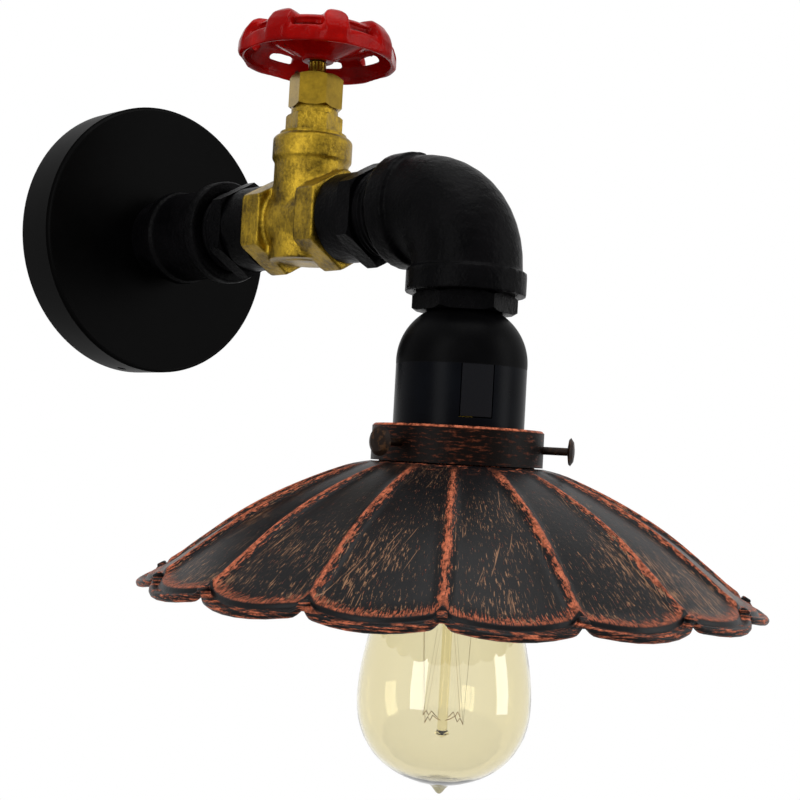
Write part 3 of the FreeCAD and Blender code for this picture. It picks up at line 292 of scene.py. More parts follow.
# %% Red enamel
def red_enamel():
    mat, tree, shader = new_finish("red_enamel")
    where = place(tree)
    cloud = grain(tree, where, 60.0, 4.0)
    chips = ramp(tree, grain(tree, where, 130.0, 2.0, 0.4), 0.735, 0.765)
    base = mix_colour(tree, ramp(tree, cloud, 0.35, 0.7), (0.24, 0.0012, 0.0010),
                      (0.42, 0.0040, 0.0022))
    tree.links.new(mix_colour(tree, chips, base, (0.03, 0.02, 0.018)),
                   shader.inputs["Base Color"])
    shader.inputs["Roughness"].default_value = 0.16
    shader.inputs["Specular IOR Level"].default_value = 0.035
    skin = grain(tree, where, 240.0, 3.0)
    relief(tree, shader, skin, 0.00035)
    return mat


red = red_enamel()
print("red enamel ready")

# %% [markdown]
# ### Black paint rubbed through to copper
# The shade was painted black and rubbed, so copper shows on the ribs, on the rolled edge
# and in fine scratches that run outwards. The pattern is polar: an angle and a radius
# about the lamp axis, found from Object coordinates. Two distances are stored on the
# shade's own points when it is pressed: how far a point is from the rolled edge, and how
# far from the nearest rib. The rubbing follows those.

# %% Rubbed copper
PANELS = 16
RIB_TURN = math.radians(-50.0)
RING_EDGE_LOW_Z, RING_EDGE_TOP_Z = -0.0815, -0.0810
COPPER_DARK = (0.085, 0.020, 0.009)
COPPER = (0.64, 0.175, 0.085)
TAN = (0.29, 0.150, 0.080)
SHADE_BLACK = (0.0024, 0.0023, 0.0028)


def polar(tree):
    """Angle (from -Y towards +X) and radius about the lamp axis, and the height."""
    where = place(tree, shift=(0.0, -LAMP_Y, 0.0))
    split = tree.nodes.new("ShaderNodeSeparateXYZ")
    tree.links.new(where, split.inputs[0])
    x, y, z = split.outputs
    angle = maths(tree, "ARCTAN2", x, maths(tree, "MULTIPLY", y, -1.0))
    radius = maths(tree, "SQRT", maths(tree, "ADD", maths(tree, "MULTIPLY", x, x),
                                       maths(tree, "MULTIPLY", y, y)))
    return angle, radius, z, where


def marks(tree, angle, along, cell_turn, cell_long, shift=0.0, detail=4.0, rough=0.6):
    """Noise in cells that are cell_turn radians wide and cell_long metres long."""
    joined = tree.nodes.new("ShaderNodeCombineXYZ")
    tree.links.new(maths(tree, "DIVIDE", angle, cell_turn), joined.inputs[0])
    tree.links.new(maths(tree, "DIVIDE", along, cell_long), joined.inputs[1])
    joined.inputs[2].default_value = shift
    return grain(tree, joined.outputs[0], 1.0, detail, rough)


def stored(tree, name):
    node = tree.nodes.new("ShaderNodeAttribute")
    node.attribute_name = name
    return node.outputs["Fac"]


def rubbed_shade():
    mat, tree, shader = new_finish("rubbed_copper_shade")
    angle, radius, z, where = polar(tree)
    edge, side = stored(tree, "from_edge"), stored(tree, "from_rib")
    outside = opposite(tree, ramp(tree, edge, 0.2, 0.3))
    ragged = grain(tree, where, 620.0, 4.0, 0.72)
    wander = grain(tree, where, 75.0, 2.0)
    # Ribs: a core that wanders in width, with feathered strokes at its sides.
    slanted = maths(tree, "ADD", radius, maths(tree, "MULTIPLY", side, 1.6))
    strokes = marks(tree, angle, slanted, 0.0075, 0.0026, 55.0, 3.0, 0.65)
    wide = maths(tree, "ADD", maths(tree, "MULTIPLY", strokes, 0.0082),
                 maths(tree, "MULTIPLY", wander, 0.0034))
    wide = maths(tree, "ADD", wide, -0.0046)
    rib = opposite(tree, ramp(tree, maths(tree, "SUBTRACT", side, wide), -0.0006, 0.0003))
    rib = maths(tree, "MULTIPLY", rib, ramp(tree, ragged, 0.22, 0.34))
    rib = maths(tree, "MULTIPLY", rib, ramp(tree, radius, 0.032, 0.046))
    rib = maths(tree, "MULTIPLY", rib, ramp(tree, edge, 0.0028, 0.0042))
    # Specks and scratches on the panels, in drifts.
    drift = ramp(tree, grain(tree, where, 42.0, 3.0), 0.36, 0.66)
    low_part = ramp(tree, radius, 0.040, 0.085)
    lift = maths(tree, "MULTIPLY", maths(tree, "ADD", drift, maths(
        tree, "MULTIPLY", low_part, 0.6)), 0.085)
    specks = maths(tree, "ADD", marks(tree, angle, radius, 0.0078, 0.0034, 3.0, 3.0, 0.72), lift)
    specks = ramp(tree, specks, 0.665, 0.765)
    long_ones = marks(tree, angle, radius, 0.0085, 0.0130, 8.0, 3.0, 0.6)
    long_ones = ramp(tree, maths(tree, "ADD", long_ones, lift), 0.725, 0.790)
    slant = maths(tree, "ADD", angle, maths(tree, "MULTIPLY", radius, 4.5))
    slanting = marks(tree, slant, radius, 0.011, 0.034, 15.0, 3.0, 0.6)
    slanting = ramp(tree, maths(tree, "ADD", slanting, lift), 0.735, 0.795)
    fine = maths(tree, "MAXIMUM", maths(tree, "MAXIMUM", specks, long_ones), slanting)
    fine = maths(tree, "MULTIPLY", fine, ramp(tree, edge, 0.0030, 0.0045))
    # Short strokes before the groove, then the groove, then the rolled edge.
    near = opposite(tree, ramp(tree, edge, 0.0032, 0.0105))
    fringe = marks(tree, angle, edge, 0.0042, 0.0040, 21.0, 3.0, 0.6)
    fringe = ramp(tree, maths(tree, "ADD", fringe, maths(tree, "MULTIPLY", near, 0.22)),
                  0.64, 0.73)
    fringe = maths(tree, "MULTIPLY", fringe, ramp(tree, edge, 0.0026, 0.0034))
    on_roll = opposite(tree, ramp(tree, edge, 0.0008, 0.0015))
    roll = marks(tree, angle, z, 0.075, 0.0009, 31.0, 5.0, 0.72)
    roll = maths(tree, "MULTIPLY", ramp(tree, roll, 0.49, 0.59), on_roll)
    # Smears round the neck.
    neck = opposite(tree, ramp(tree, radius, 0.031, 0.040))
    smear = marks(tree, angle, radius, 0.12, 0.0022, 41.0, 5.0, 0.7)
    smear = maths(tree, "MULTIPLY", ramp(tree, smear, 0.53, 0.66), neck)
    bold = maths(tree, "MAXIMUM", maths(tree, "MAXIMUM", rib, roll),
                 maths(tree, "MAXIMUM", maths(tree, "MULTIPLY", fringe, 0.85), smear))
    bold = maths(tree, "MULTIPLY", bold, outside, clamp=True)
    fine = maths(tree, "MULTIPLY", fine, outside, clamp=True)
    warm = mix_colour(tree, ramp(tree, ragged, 0.30, 0.68), COPPER_DARK, COPPER)
    under = mix_colour(tree, fine, SHADE_BLACK, TAN)
    tree.links.new(mix_colour(tree, bold, under, warm), shader.inputs["Base Color"])
    tree.links.new(maths(tree, "ADD", maths(tree, "MULTIPLY", bold, 0.12), 0.38),
                   shader.inputs["Roughness"])
    shader.inputs["Specular IOR Level"].default_value = 0.11
    relief(tree, shader, maths(tree, "ADD", bold, ragged), 0.00009)
    return mat


def rubbed_ring():
    """The same paint on the gallery ring, where the scratches run round it."""
    mat, tree, shader = new_finish("rubbed_copper_ring")
    angle, _, z, where = polar(tree)
    rubs = marks(tree, angle, z, 0.17, 0.0011, 5.0, 5.0, 0.66)
    drift = grain(tree, where, 60.0, 2.0)
    rubs = ramp(tree, maths(tree, "ADD", rubs, maths(tree, "MULTIPLY", drift, 0.25)),
                0.64, 0.80)
    edge = ramp(tree, z, RING_EDGE_LOW_Z, RING_EDGE_TOP_Z)
    ragged = grain(tree, where, 420.0, 4.0, 0.7)
    edge = maths(tree, "MULTIPLY", edge, ramp(tree, ragged, 0.25, 0.42))
    copper = maths(tree, "MAXIMUM", maths(tree, "MULTIPLY", rubs, 0.22), edge, clamp=True)
    warm = mix_colour(tree, ramp(tree, ragged, 0.35, 0.65), (0.10, 0.022, 0.009), COPPER)
    tree.links.new(mix_colour(tree, copper, (0.0030, 0.0014, 0.0010), warm),
                   shader.inputs["Base Color"])
    shader.inputs["Roughness"].default_value = 0.42
    shader.inputs["Specular IOR Level"].default_value = 0.05
    relief(tree, shader, maths(tree, "ADD", copper, ragged), 0.00016)
    return mat


def dark_bronze():
    """The thumbscrews: dark brown paint with a little bronze showing."""
    mat, tree, shader = new_finish("dark_bronze_screw")
    where = place(tree)
    rubs = ramp(tree, grain(tree, where, 500.0, 4.0, 0.6), 0.5, 0.7)
    tree.links.new(mix_colour(tree, rubs, (0.010, 0.005, 0.003), (0.060, 0.027, 0.011)),
                   shader.inputs["Base Color"])
    shader.inputs["Roughness"].default_value = 0.42
    shader.inputs["Specular IOR Level"].default_value = 0.08
    relief(tree, shader, rubs, 0.00004)
    return mat


shade_finish = rubbed_shade()
ring_finish = rubbed_ring()
screw_finish = dark_bronze()
print("rubbed finishes ready")


# %% [markdown]
# ### Glass, wire and the plain inner parts
# The envelope is pale amber glass, thin and clear but for the dull tip where it was
# sealed. The rod inside has the same glass. The filament and its hooks are wire. Behind
# the plate and inside the holder the parts are plain zinc, plastic and sleeving.

# %% Glass and plain finishes
TIP_LOW_Z, TIP_TOP_Z = -0.2074, -0.2060


def amber_glass():
    mat, tree, shader = new_finish("amber_glass")
    where = place(tree)
    painted_edge_weight = tree.nodes.new("ShaderNodeLayerWeight")
    painted_edge_weight.inputs["Blend"].default_value = 0.35
    split = tree.nodes.new("ShaderNodeSeparateXYZ")
    tree.links.new(where, split.inputs[0])
    above_tip = ramp(tree, split.outputs[2], TIP_LOW_Z, TIP_TOP_Z)
    # Where the glass is seen edge-on it is painted deeper and darker: painted shade at the
    # bulb's edges.
    tint_with_painted_edge_shade = mix_colour(tree, painted_edge_weight.outputs["Facing"], (0.885, 0.838, 0.660),
                      (0.800, 0.735, 0.510))
    tree.links.new(mix_colour(tree, above_tip, (0.62, 0.56, 0.34), tint_with_painted_edge_shade),
                   shader.inputs["Base Color"])
    tree.links.new(maths(tree, "ADD", maths(tree, "MULTIPLY", above_tip, 0.75), 0.25),
                   shader.inputs["Transmission Weight"])
    tree.links.new(maths(tree, "MULTIPLY", opposite(tree, above_tip), 0.35),
                   shader.inputs["Roughness"])
    shader.inputs["IOR"].default_value = 1.48
    relief(tree, shader, grain(tree, where, 45.0, 2.0), 0.00012)
    return mat


def plain(name, colour, metal=0.0, rough=0.5, scale=900.0, depth=0.00003):
    mat, tree, shader = new_finish(name)
    where = place(tree)
    cloud = grain(tree, where, scale * 0.2, 3.0)
    darker = tuple(c * 0.8 for c in colour)
    tree.links.new(mix_colour(tree, cloud, darker, colour), shader.inputs["Base Color"])
    shader.inputs["Metallic"].default_value = metal
    shader.inputs["Roughness"].default_value = rough
    relief(tree, shader, grain(tree, where, scale, 3.0), depth)
    return mat


glass_finish = amber_glass()
stem_glass = amber_glass()
stem_glass.name = "clear_stem_glass"
finishes = {
    "wall_plate": black_plate, "wall_socket": black_iron, "wall_nipple": black_iron,
    "rear_nipple": black_iron, "front_nipple": black_iron, "elbow": black_iron,
    "lamp_plug": black_iron, "valve_body": cast_brass, "valve_bonnet": cast_brass,
    "gland_nut": turned_brass, "valve_spindle": turned_brass, "screw_shell": turned_brass,
    "centre_contact": turned_brass, "bulb_cap": turned_brass, "handwheel": red,
    "holder_dome": black_dome, "holder_skirt": black_plastic,
    "shade_ring_nut": black_plastic, "shade": shade_finish, "shade_gallery": ring_finish,
    "thumbscrew_1": screw_finish, "thumbscrew_2": screw_finish, "thumbscrew_3": screw_finish,
    "bulb_glass": glass_finish, "bulb_stem": stem_glass,
    "bulb_filament": plain("filament_wire", (0.42, 0.24, 0.07), 0.8, 0.35),
    "wall_bracket": plain("zinc_plate", (0.62, 0.63, 0.65), 1.0, 0.35),
    "side_screws": plain("zinc_screw", (0.40, 0.40, 0.42), 1.0, 0.4),
    "back_nut": plain("zinc_nut", (0.55, 0.56, 0.58), 1.0, 0.4),
    "wheel_nut": plain("zinc_wheel_nut", (0.58, 0.58, 0.60), 1.0, 0.35),
    "entry_nipple": plain("zinc_nipple", (0.55, 0.56, 0.58), 1.0, 0.35),
    "earth_screw": plain("brass_screw", (0.65, 0.50, 0.20), 1.0, 0.3),
    "terminal_block": plain("white_plastic", (0.78, 0.78, 0.75), 0.0, 0.45),
    "holder_core": plain("white_ceramic", (0.80, 0.79, 0.74), 0.0, 0.3),
    "gland_packing": plain("fibre_packing", (0.45, 0.42, 0.34), 0.0, 0.8),
    "live_lead": plain("brown_sleeve", (0.16, 0.06, 0.025), 0.0, 0.5),
    "neutral_lead": plain("blue_sleeve", (0.03, 0.09, 0.38), 0.0, 0.5),
    "earth_lead": plain("green_yellow_sleeve", (0.30, 0.46, 0.05), 0.0, 0.5),
}


def dress(node, finish):
    piece = nodes[node]
    for slot in piece.material_slots:
        slot.material = finish


for node, finish in finishes.items():
    dress(node, finish)
print("nodes dressed", len(finishes), "of", len(nodes))

# %% [markdown]
# ## The shade
# The real shade is pressed from one sheet: sixteen slightly hollow panels meet at raised
# ribs, the outline is lobed, and the edge is rolled over a groove. One panel is enough to
# model, because the other fifteen are copies turned round the lamp axis. We take a flat
# grid and lift every one of its points to the pressed form: a row of the grid is one
# place along the section from neck to rim and back, a column is one place across.

# %% Shade sizes
SHOULDER_Z = -0.0938
NECK_R = 0.0276
RIB_END_R = 0.1037
LOBE = 0.0048
DROP = 0.0415
RISE = 0.0022
DISH = 0.00045
RIDGE_WIDTH = 0.0016
VALLEY_SHARE = 0.16
VALLEY_FROM_RIB = 0.0034
VALLEY_WIDTH = 0.0014
SHEET = 0.0012
HALF = math.pi / PANELS
# Rows of the umbrella curve: the way from neck to rim, the share of the fall and of the rise.
CURVE = [(0.0, 0.0, 0.0), (0.05, 0.004, 0.03), (0.17, 0.060, 0.42), (0.42, 0.26, 0.75),
         (0.63, 0.48, 0.86), (0.83, 0.755, 0.82), (1.0, 1.0, 0.66), (1.11, 1.10, 0.60)]


def along_curve(share, column):
    """Smooth value of the umbrella curve: column 1 is the fall, column 2 the rib's rise."""
    last = len(CURVE) - 1
    i = min(max(sum(1 for row in CURVE if row[0] <= share) - 1, 0), last - 1)
    a, b = CURVE[i], CURVE[i + 1]
    before, after = CURVE[max(i - 1, 0)], CURVE[min(i + 2, last)]
    slope_a = (b[column] - before[column]) / (b[0] - before[0])
    slope_b = (after[column] - a[column]) / (after[0] - a[0])
    span = b[0] - a[0]
    x = (share - a[0]) / span
    return ((2 * x ** 3 - 3 * x ** 2 + 1) * a[column]
            + (x ** 3 - 2 * x ** 2 + x) * span * slope_a
            + (3 * x ** 2 - 2 * x ** 3) * b[column]
            + (x ** 3 - x ** 2) * span * slope_b)


def sheet_height(radius, across):
    """Height of the sheet's top face; across runs from -1 at one rib to 1 at the next."""
    share = (radius - NECK_R) / (RIB_END_R - NECK_R)
    up = along_curve(share, 2)
    from_rib = (1 - abs(across)) * radius * math.tan(HALF)
    ridge = math.exp(-(from_rib / RIDGE_WIDTH) ** 2)
    valley = VALLEY_SHARE * math.exp(-((from_rib - VALLEY_FROM_RIB) / VALLEY_WIDTH) ** 2)
    dish = DISH * (1 - across ** 2)
    return (SHOULDER_Z - DROP * along_curve(share, 1)
            - RISE * up * (1 - ridge + valley) - dish * up)


# %% [markdown]
# The section of the rim is drawn in its own small frame, in millimetres: the first number
# runs outwards along the sheet from the roll's centre, the second stands off the sheet.
# The neck is drawn in metres from the shoulder. Each point also gets its distance from
# the rolled edge, which the finish reads.

# %% Section of the shade
RIM = [(-5.0, 0.60), (-4.3, 0.66), (-3.7, 0.52), (-3.1, 0.10), (-2.5, -0.20), (-1.9, -0.12),
       (-1.45, 0.25), (-1.15, 0.62), (-0.84, 1.0), (-0.35, 1.26), (0.23, 1.28), (0.75, 1.06),
       (1.15, 0.6), (1.3, 0.0), (1.15, -0.6), (0.75, -1.06), (0.23, -1.28), (-0.35, -1.26),
       (-0.84, -1.0), (-1.18, -0.75), (-1.7, -0.62), (-3.0, -0.6), (-5.0, -0.6)]
NECK_UP = [(0.0003, -0.0005), (0.0, 0.0006), (0.0, 0.0080), (0.0003, 0.0086),
           (0.0010, 0.0089), (0.0012, 0.0093), (0.0010, 0.0096), (-0.0010, 0.0096),
           (-0.0012, 0.0094), (-0.0012, -0.0002), (-0.0010, -0.0010), (-0.0002, -0.0013)]
ACROSS = [-1.0, -0.975, -0.945, -0.91, -0.865, -0.80, -0.68, -0.50, -0.25, 0.0,
          0.25, 0.50, 0.68, 0.80, 0.865, 0.91, 0.945, 0.975, 1.0]
STEPS = [k / 24.0 for k in range(1, 24)]
SLOPE = math.radians(38.0)
RIM_START = 0.005
ROLL_R = 0.0013
FAR_FROM_EDGE = 1.0


def section(across):
    """The closed section at one place across a panel: (radius, height, way to the edge)."""
    edge_r = RIB_END_R + LOBE * (1 - across ** 2)
    edge_z = sheet_height(edge_r, across) - SHEET / 2
    out = (math.cos(SLOPE), -math.sin(SLOPE))
    off = (math.sin(SLOPE), math.cos(SLOPE))
    start_r = edge_r - RIM_START * out[0]
    top = [(NECK_R + (start_r - NECK_R) * s,
            sheet_height(NECK_R + (start_r - NECK_R) * s, across)) for s in STEPS]
    rim = [(edge_r + MM * (a * out[0] + b * off[0]), edge_z + MM * (a * out[1] + b * off[1]))
           for a, b in RIM]
    under = [(r, z - SHEET) for r, z in reversed(top)]
    neck = [(NECK_R + a, SHOULDER_Z + b) for a, b in NECK_UP]
    points = top + rim + under + list(reversed(neck))
    reach = [max(math.hypot(r - edge_r, z - edge_z) - ROLL_R, 0.0) for r, z in points]
    # The underside isn't rubbed, so its points count as far from the edge.
    first_under = len(top) + len(rim)
    for k in range(first_under, first_under + len(under)):
        reach[k] = FAR_FROM_EDGE
    return [(r, z, d) for (r, z), d in zip(points, reach)]


rows = len(section(0.0))
print("section points", rows)

# %% Press one panel and turn the copies
def turn_copies(piece):
    """Copy a piece's mesh to all sixteen places round the lamp axis."""
    hold(piece)
    bpy.ops.object.mode_set(mode="EDIT")
    bpy.ops.mesh.select_all(action="SELECT")
    bpy.ops.mesh.spin(steps=PANELS - 1, dupli=True, angle=FULL_TURN * (PANELS - 1) / PANELS,
                      center=LAMP_AXIS, axis=UPRIGHT)
    bpy.ops.object.mode_set(mode="OBJECT")


clear_selection()
bpy.ops.mesh.primitive_grid_add(x_subdivisions=len(ACROSS) - 1, y_subdivisions=rows,
                                size=0.1, location=(0, LAMP_Y, SHOULDER_Z))
shade = bpy.context.object
shade.name = "scalloped_shade"
settle(shade)
columns = len(ACROSS)
print("grid points", len(shade.data.vertices), "wanted", columns * (rows + 1))
for name in ("from_edge", "from_rib"):
    shade.data.attributes.new(name, "FLOAT", "POINT")
to_edge = shade.data.attributes["from_edge"].data
to_rib = shade.data.attributes["from_rib"].data
for column, across in enumerate(ACROSS):
    line = section(across)
    line.append(line[0])
    angle = RIB_TURN + HALF + across * HALF
    for row, (radius, height, reach) in enumerate(line):
        place_in_grid = row * columns + column
        point = shade.data.vertices[place_in_grid]
        point.co = Vector((radius * math.sin(angle), LAMP_Y - radius * math.cos(angle),
                           height))
        to_edge[place_in_grid].value = reach
        to_rib[place_in_grid].value = (1 - abs(across)) * radius * math.tan(HALF)
turn_copies(shade)
tidy_normals(shade, 0.00002)
bpy.ops.object.shade_smooth()
print("shade faces", len(shade.data.polygons))

# %% [markdown]
# Where the rolled edge is pinched at the end of each rib it makes a small square knuckle.
# We shape one from a cube with rounded edges and copy it to all sixteen ribs.

# %% Knuckles
KNUCKLE_SIZE = (0.0031, 0.0032, 0.0027)
KNUCKLE_TILT = SLOPE * 0.8
KNUCKLE_ROUNDING = 0.0007

clear_selection()
knuckle_z = sheet_height(RIB_END_R, 1.0) - SHEET / 2
bpy.ops.mesh.primitive_cube_add(size=1.0)
knuckle = bpy.context.object
knuckle.name = "knuckle"
knuckle.scale = KNUCKLE_SIZE
knuckle.rotation_euler = (KNUCKLE_TILT, 0, RIB_TURN)
knuckle.location = (RIB_END_R * math.sin(RIB_TURN),
                    LAMP_Y - RIB_END_R * math.cos(RIB_TURN), knuckle_z)
settle(knuckle)
rounding = knuckle.modifiers.new("rounding", "BEVEL")
rounding.width = KNUCKLE_ROUNDING
rounding.segments = 3
finish_modifiers(knuckle)
turn_copies(knuckle)
tidy_normals(knuckle)
bpy.ops.object.shade_smooth_by_angle(angle=math.radians(40))
hold(shade)
knuckle.select_set(True)
bpy.ops.object.join()
shade.data.materials.clear()
shade.data.materials.append(shade_finish)
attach(shade, "fixture")
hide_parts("shade")
print("shade with knuckles", len(shade.data.polygons))


# %% [markdown]
# ## Castings
# The handwheel, the elbow, the valve and the wall socket are sand castings: no edge on
# them is sharp, and walls flow into each other. A copy of each solid is rebuilt as an even
# net of small faces and then smoothed a little, which rounds every edge and fills every
# inner corner at once. The net is the size of a face in metres, and rounds is how many
# times the net is smoothed.

# %% Casting helper
def casting(node, name, net, rounds, finish, body="fixture", more=()):
    source = nodes[node]
    clear_selection()
    piece = bpy.data.objects.new(name, source.data.copy())
    bpy.context.scene.collection.objects.link(piece)
    hold(piece)
    for lump in more:
        lump.select_set(True)
    if more:
        bpy.ops.object.join()
    bpy.ops.object.mode_set(mode="EDIT")
    bpy.ops.mesh.select_all(action="SELECT")
    bpy.ops.mesh.remove_doubles(threshold=0.000002)
    bpy.ops.object.mode_set(mode="OBJECT")
    remesh = piece.modifiers.new("net", "REMESH")
    remesh.mode = "VOXEL"
    remesh.voxel_size = net
    remesh.use_smooth_shade = True
    soften = piece.modifiers.new("soften", "SMOOTH")
    soften.factor = 0.5
    soften.iterations = rounds
    finish_modifiers(piece)
    bpy.ops.object.shade_smooth()
    piece.data.materials.clear()
    piece.data.materials.append(finish)
    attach(piece, body)
    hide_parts(node)
    print(name, "faces", len(piece.data.polygons))


# %% [markdown]
# On the real valve the bonnet's round column runs straight down into the belly between the
# two hexagons. A lump is laid into the copy before it is rebuilt, so the two flow together.

# %% Lump for the valve's belly
BELLY_R = 0.0150
BELLY_HEIGHT = 0.040
BELLY_MIDDLE_Z = 0.004

clear_selection()
bpy.ops.mesh.primitive_cylinder_add(vertices=64, radius=BELLY_R, depth=BELLY_HEIGHT,
                                    location=(0, VALVE_Y, BELLY_MIDDLE_Z))
belly = bpy.context.object
belly.name = "belly"
settle(belly)
print("belly", len(belly.data.polygons))

# %% Cast pieces
casting("handwheel", "red_handwheel", 0.00046, 18, red, "handwheel_set")
casting("elbow", "cast_elbow", 0.0007, 5, black_iron)
casting("valve_body", "cast_valve", 0.0006, 3, cast_brass, more=(belly,))
casting("wall_socket", "cast_socket", 0.0007, 4, black_iron)


# %% [markdown]
# ## Threads in view
# Between the hexagons and the beads a few turns of pipe thread show. A short lathe piece
# with a toothed profile sits over each bare stretch of pipe.

# %% Thread rings
THREAD_ROOT_R = 0.0163
THREAD_CREST_R = 0.0170
THREAD_WALL = 0.0006


def thread_along_arm(name, start, end, pitch, finish):
    """Rings of thread round the arm: a toothed profile spun round the Y axis."""
    root, crest, back = THREAD_ROOT_R, THREAD_CREST_R, THREAD_ROOT_R - THREAD_WALL
    turns = int(round((end - start) / pitch))
    profile = [(back, start), (root, start)]
    for k in range(turns):
        a = start + (end - start) * k / turns
        b = (end - start) / turns
        profile += [(root, a + 0.15 * b), (crest, a + 0.45 * b), (crest, a + 0.6 * b),
                    (root, a + 0.9 * b)]
    profile += [(root, end), (back, end), (back, start)]
    piece = lathe(name, [(r, -way, 0.0) for r, way in profile], centre=(0, 0, 0),
                  axis=ALONG_ARM, steps=72, merge=0.000005, sharp_over=35)
    piece.data.materials.append(finish)
    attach(piece, "fixture")


thread_along_arm("rear_thread", 0.0692, 0.0755, 0.0021, black_iron)
thread_along_arm("front_thread", 0.1587, 0.1699, 0.0022, black_iron)

# %% [markdown]
# ## The glass
# The envelope is a pear of thin glass with a small sealed tip. Half of its wall, outside
# and inside, is drawn in millimetres as one closed line and spun round the lamp axis, so
# the wall has a true thickness and light bends in it as it should.

# %% Bulb glass
OUTSIDE = [(12.05, -96.0), (12.05, -104.7), (12.7, -109.0), (15.2, -118.0), (19.2, -129.0),
           (23.4, -140.5), (27.0, -151.5), (29.4, -161.5), (30.75, -171.0), (31.0, -178.2),
           (30.3, -184.6), (28.2, -190.6), (24.9, -195.8), (20.4, -200.0), (15.2, -203.0),
           (10.0, -204.9), (6.2, -205.9), (3.9, -206.6), (2.6, -207.6), (1.7, -208.9),
           (0.8, -209.9), (0.0, -210.15)]
INSIDE = [(0.0, -204.9), (3.0, -204.85), (6.2, -204.5), (10.0, -203.8), (15.0, -202.1),
          (19.9, -199.3), (24.2, -195.3), (27.4, -190.2), (29.5, -184.4), (30.2, -178.2),
          (29.95, -171.1), (28.6, -161.7), (26.2, -151.8), (22.65, -140.8), (18.45, -129.3),
          (14.45, -118.2), (11.95, -109.1), (11.3, -104.7), (11.3, -96.0), (12.05, -96.0)]
envelope = lathe("glass_envelope", [(r * MM, LAMP_Y, z * MM) for r, z in OUTSIDE + INSIDE],
                 centre=LAMP_AXIS, axis=UPRIGHT, steps=96, merge=0.00001, sharp_over=40)
bpy.ops.object.shade_smooth()
rounder = envelope.modifiers.new("rounder", "SUBSURF")
rounder.levels = 1
rounder.render_levels = 1
finish_modifiers(envelope)
bpy.ops.object.shade_smooth()
envelope.data.materials.append(glass_finish)
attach(envelope, "bulb")
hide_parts("bulb_glass")

# %% [markdown]
# ## Filament
# A fine wire runs in a zigzag between eight small hooks round the glass rod. Each wire is
# a thin round bar drawn along a line of points. On their way out the four lower hooks
# bend up and the four upper ones bend down.

# %% Fine wire
WIRE_TOP = -0.1282
WIRE_LOW = -0.1842
WIRE_R = 0.0095
WIRE_THICK = 0.00007
HOOKS = 8
HOOK_THICK = 0.00016
UPPER_BEND = -0.0016
LOWER_BEND = 0.0022


def wire_line(name, points, thick):
    curve = bpy.data.curves.new(name, "CURVE")
    curve.dimensions = "3D"
    curve.bevel_depth = thick
    curve.bevel_resolution = 2
    line = curve.splines.new("POLY")
    line.points.add(len(points) - 1)
    for spot, (x, y, z) in zip(line.points, points):
        spot.co = (x, LAMP_Y + y, z, 1.0)
    piece = bpy.data.objects.new(name, curve)
    bpy.context.scene.collection.objects.link(piece)
    hold(piece)
    bpy.ops.object.convert(target="MESH")
    return bpy.context.object


hooks = []
corners = []
for k in range(HOOKS):
    turn = FULL_TURN * k / HOOKS
    level = WIRE_TOP if k % 2 else WIRE_LOW
    corners.append((WIRE_R * math.cos(turn), WIRE_R * math.sin(turn), level))
    bend = UPPER_BEND if k % 2 else LOWER_BEND
    line = [(0.0012, 0.0), (0.0035, bend * 0.4), (0.0055, bend), (0.0068, bend * 0.2),
            (0.0080, bend * 0.9), (WIRE_R, 0.0)]
    hooks.append(wire_line("hook", [(r * math.cos(turn), r * math.sin(turn), level + up_by)
                                    for r, up_by in line], HOOK_THICK))
clear_selection()
filament = wire_line("fine_filament", corners, WIRE_THICK)
for hook in hooks:
    hook.select_set(True)
bpy.ops.object.join()
bpy.ops.object.shade_smooth()
filament.data.materials.clear()
filament.data.materials.append(finishes["bulb_filament"])
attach(filament, "bulb")
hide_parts("bulb_filament")
print("filament faces", len(filament.data.polygons))

# %% [markdown]
# ## Camera
# The photograph looks at the lamp from the left front, near the height of the holder,
# with the picture turned about three degrees.

# %% Camera
CAMERA_AT = Vector((-0.3587, -0.5142, -0.0919))
YAW = math.radians(-46.48)
PITCH = math.radians(2.42)
ROLL = math.radians(3.17)
LENS_PX = 1327.0
PICTURE_PX = 800.0
SENSOR_MM = 36.0

ahead = Vector((-math.sin(YAW) * math.cos(PITCH), math.cos(YAW) * math.cos(PITCH),
                math.sin(PITCH)))
right = Vector((math.cos(YAW), math.sin(YAW), 0.0))
up = right.cross(ahead)
right_rolled = right * math.cos(ROLL) + up * math.sin(ROLL)
up_rolled = up * math.cos(ROLL) - right * math.sin(ROLL)
camera = bpy.data.objects.new("camera", bpy.data.cameras.new("camera"))
bpy.context.scene.collection.objects.link(camera)
turned = Matrix((right_rolled, up_rolled, -ahead)).transposed().to_4x4()
camera.matrix_world = Matrix.Translation(CAMERA_AT) @ turned
camera.data.sensor_width = SENSOR_MM
camera.data.lens = SENSOR_MM * LENS_PX / PICTURE_PX
camera.data.clip_start = 0.01
bpy.context.scene.camera = camera
print("camera lens", round(camera.data.lens, 1))

# %% [markdown]
# ## Floor and light
# A pale floor far below keeps the object's shadow, and the background is white to the
# camera, to reflections and through the glass. Large soft lamps stand left, right and
# above, as in a studio.

# %% Stage
FLOOR_Z = -0.75
LAMPS_AIM_AT = (0, -0.15, -0.05)
WHITE = (1.0, 1.0, 1.0, 1.0)


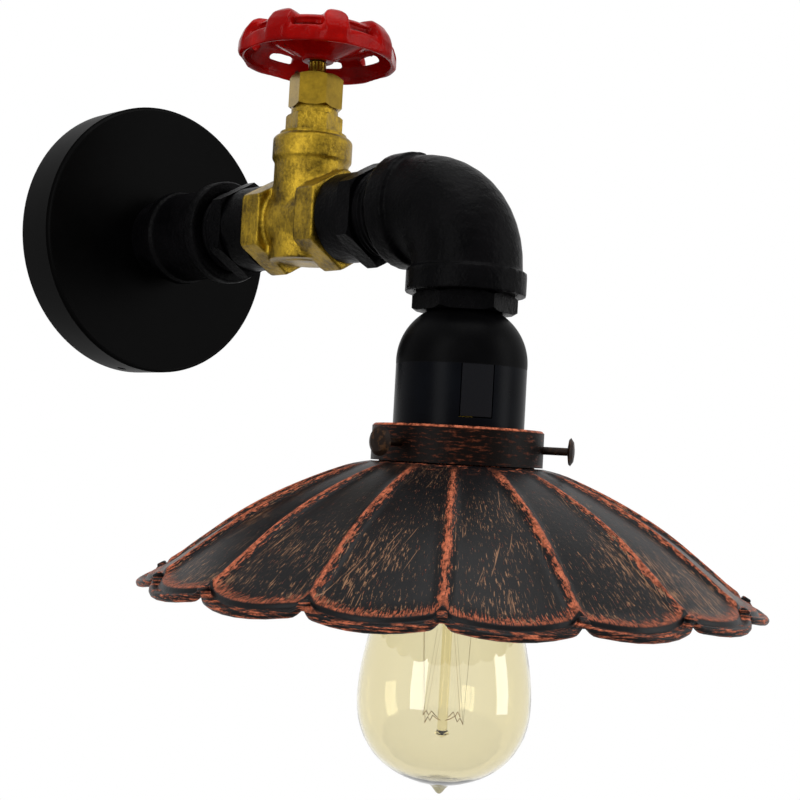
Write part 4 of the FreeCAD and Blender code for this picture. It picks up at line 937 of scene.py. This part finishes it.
def white_to_camera(tree, plain_socket, white_socket, output_socket):
    """Show white to camera, glossy and transmission rays, and the plain shader to the rest."""
    path = tree.nodes.new("ShaderNodeLightPath")
    seen = maths(tree, "MAXIMUM", path.outputs["Is Camera Ray"], path.outputs["Is Glossy Ray"])
    seen = maths(tree, "MAXIMUM", seen, path.outputs["Is Transmission Ray"])
    mix = tree.nodes.new("ShaderNodeMixShader")
    tree.links.new(seen, mix.inputs[0])
    tree.links.new(plain_socket, mix.inputs[1])
    tree.links.new(white_socket, mix.inputs[2])
    tree.links.new(mix.outputs[0], output_socket)


clear_selection()
bpy.ops.mesh.primitive_plane_add(size=6.0, location=(0, 0, FLOOR_Z))
floor = bpy.context.object
floor.name = "floor"
floor_mat, floor_tree, floor_shader = new_finish("pale_floor")
floor_shader.inputs["Base Color"].default_value = (0.86, 0.86, 0.86, 1.0)
floor_shader.inputs["Roughness"].default_value = 0.9
floor_glow = floor_tree.nodes.new("ShaderNodeEmission")
floor_glow.inputs["Strength"].default_value = 1.0
white_to_camera(floor_tree, floor_shader.outputs[0], floor_glow.outputs[0],
                floor_tree.nodes["Material Output"].inputs["Surface"])
floor.data.materials.append(floor_mat)

world = bpy.data.worlds.new("studio")
bpy.context.scene.world = world
world.use_nodes = True
world_tree = world.node_tree
dim = world_tree.nodes["Background"]
dim.inputs["Color"].default_value = WHITE
dim.inputs["Strength"].default_value = 0.20
bright = world_tree.nodes.new("ShaderNodeBackground")
bright.inputs["Color"].default_value = WHITE
bright.inputs["Strength"].default_value = 1.0
white_to_camera(world_tree, dim.outputs[0], bright.outputs[0],
                world_tree.nodes["World Output"].inputs["Surface"])


def soft_lamp(name, at, wide, high, watts):
    """A rectangular lamp that points at the middle of the object."""
    data = bpy.data.lights.new(name, "AREA")
    data.shape = "RECTANGLE"
    data.size = wide
    data.size_y = high
    data.energy = watts
    lamp = bpy.data.objects.new(name, data)
    bpy.context.scene.collection.objects.link(lamp)
    lamp.location = at
    aim = Vector(LAMPS_AIM_AT) - Vector(at)
    lamp.rotation_euler = aim.to_track_quat("-Z", "Y").to_euler()


soft_lamp("lamp_left", (-1.3, -0.35, 0.30), 0.5, 1.5, 11.0)
soft_lamp("lamp_right", (0.75, -1.35, 0.25), 0.5, 1.5, 10.0)
soft_lamp("lamp_top", (-0.1, -0.4, 1.2), 0.9, 0.9, 9.0)
bpy.context.scene.view_settings.view_transform = "Standard"
print("stage ready")
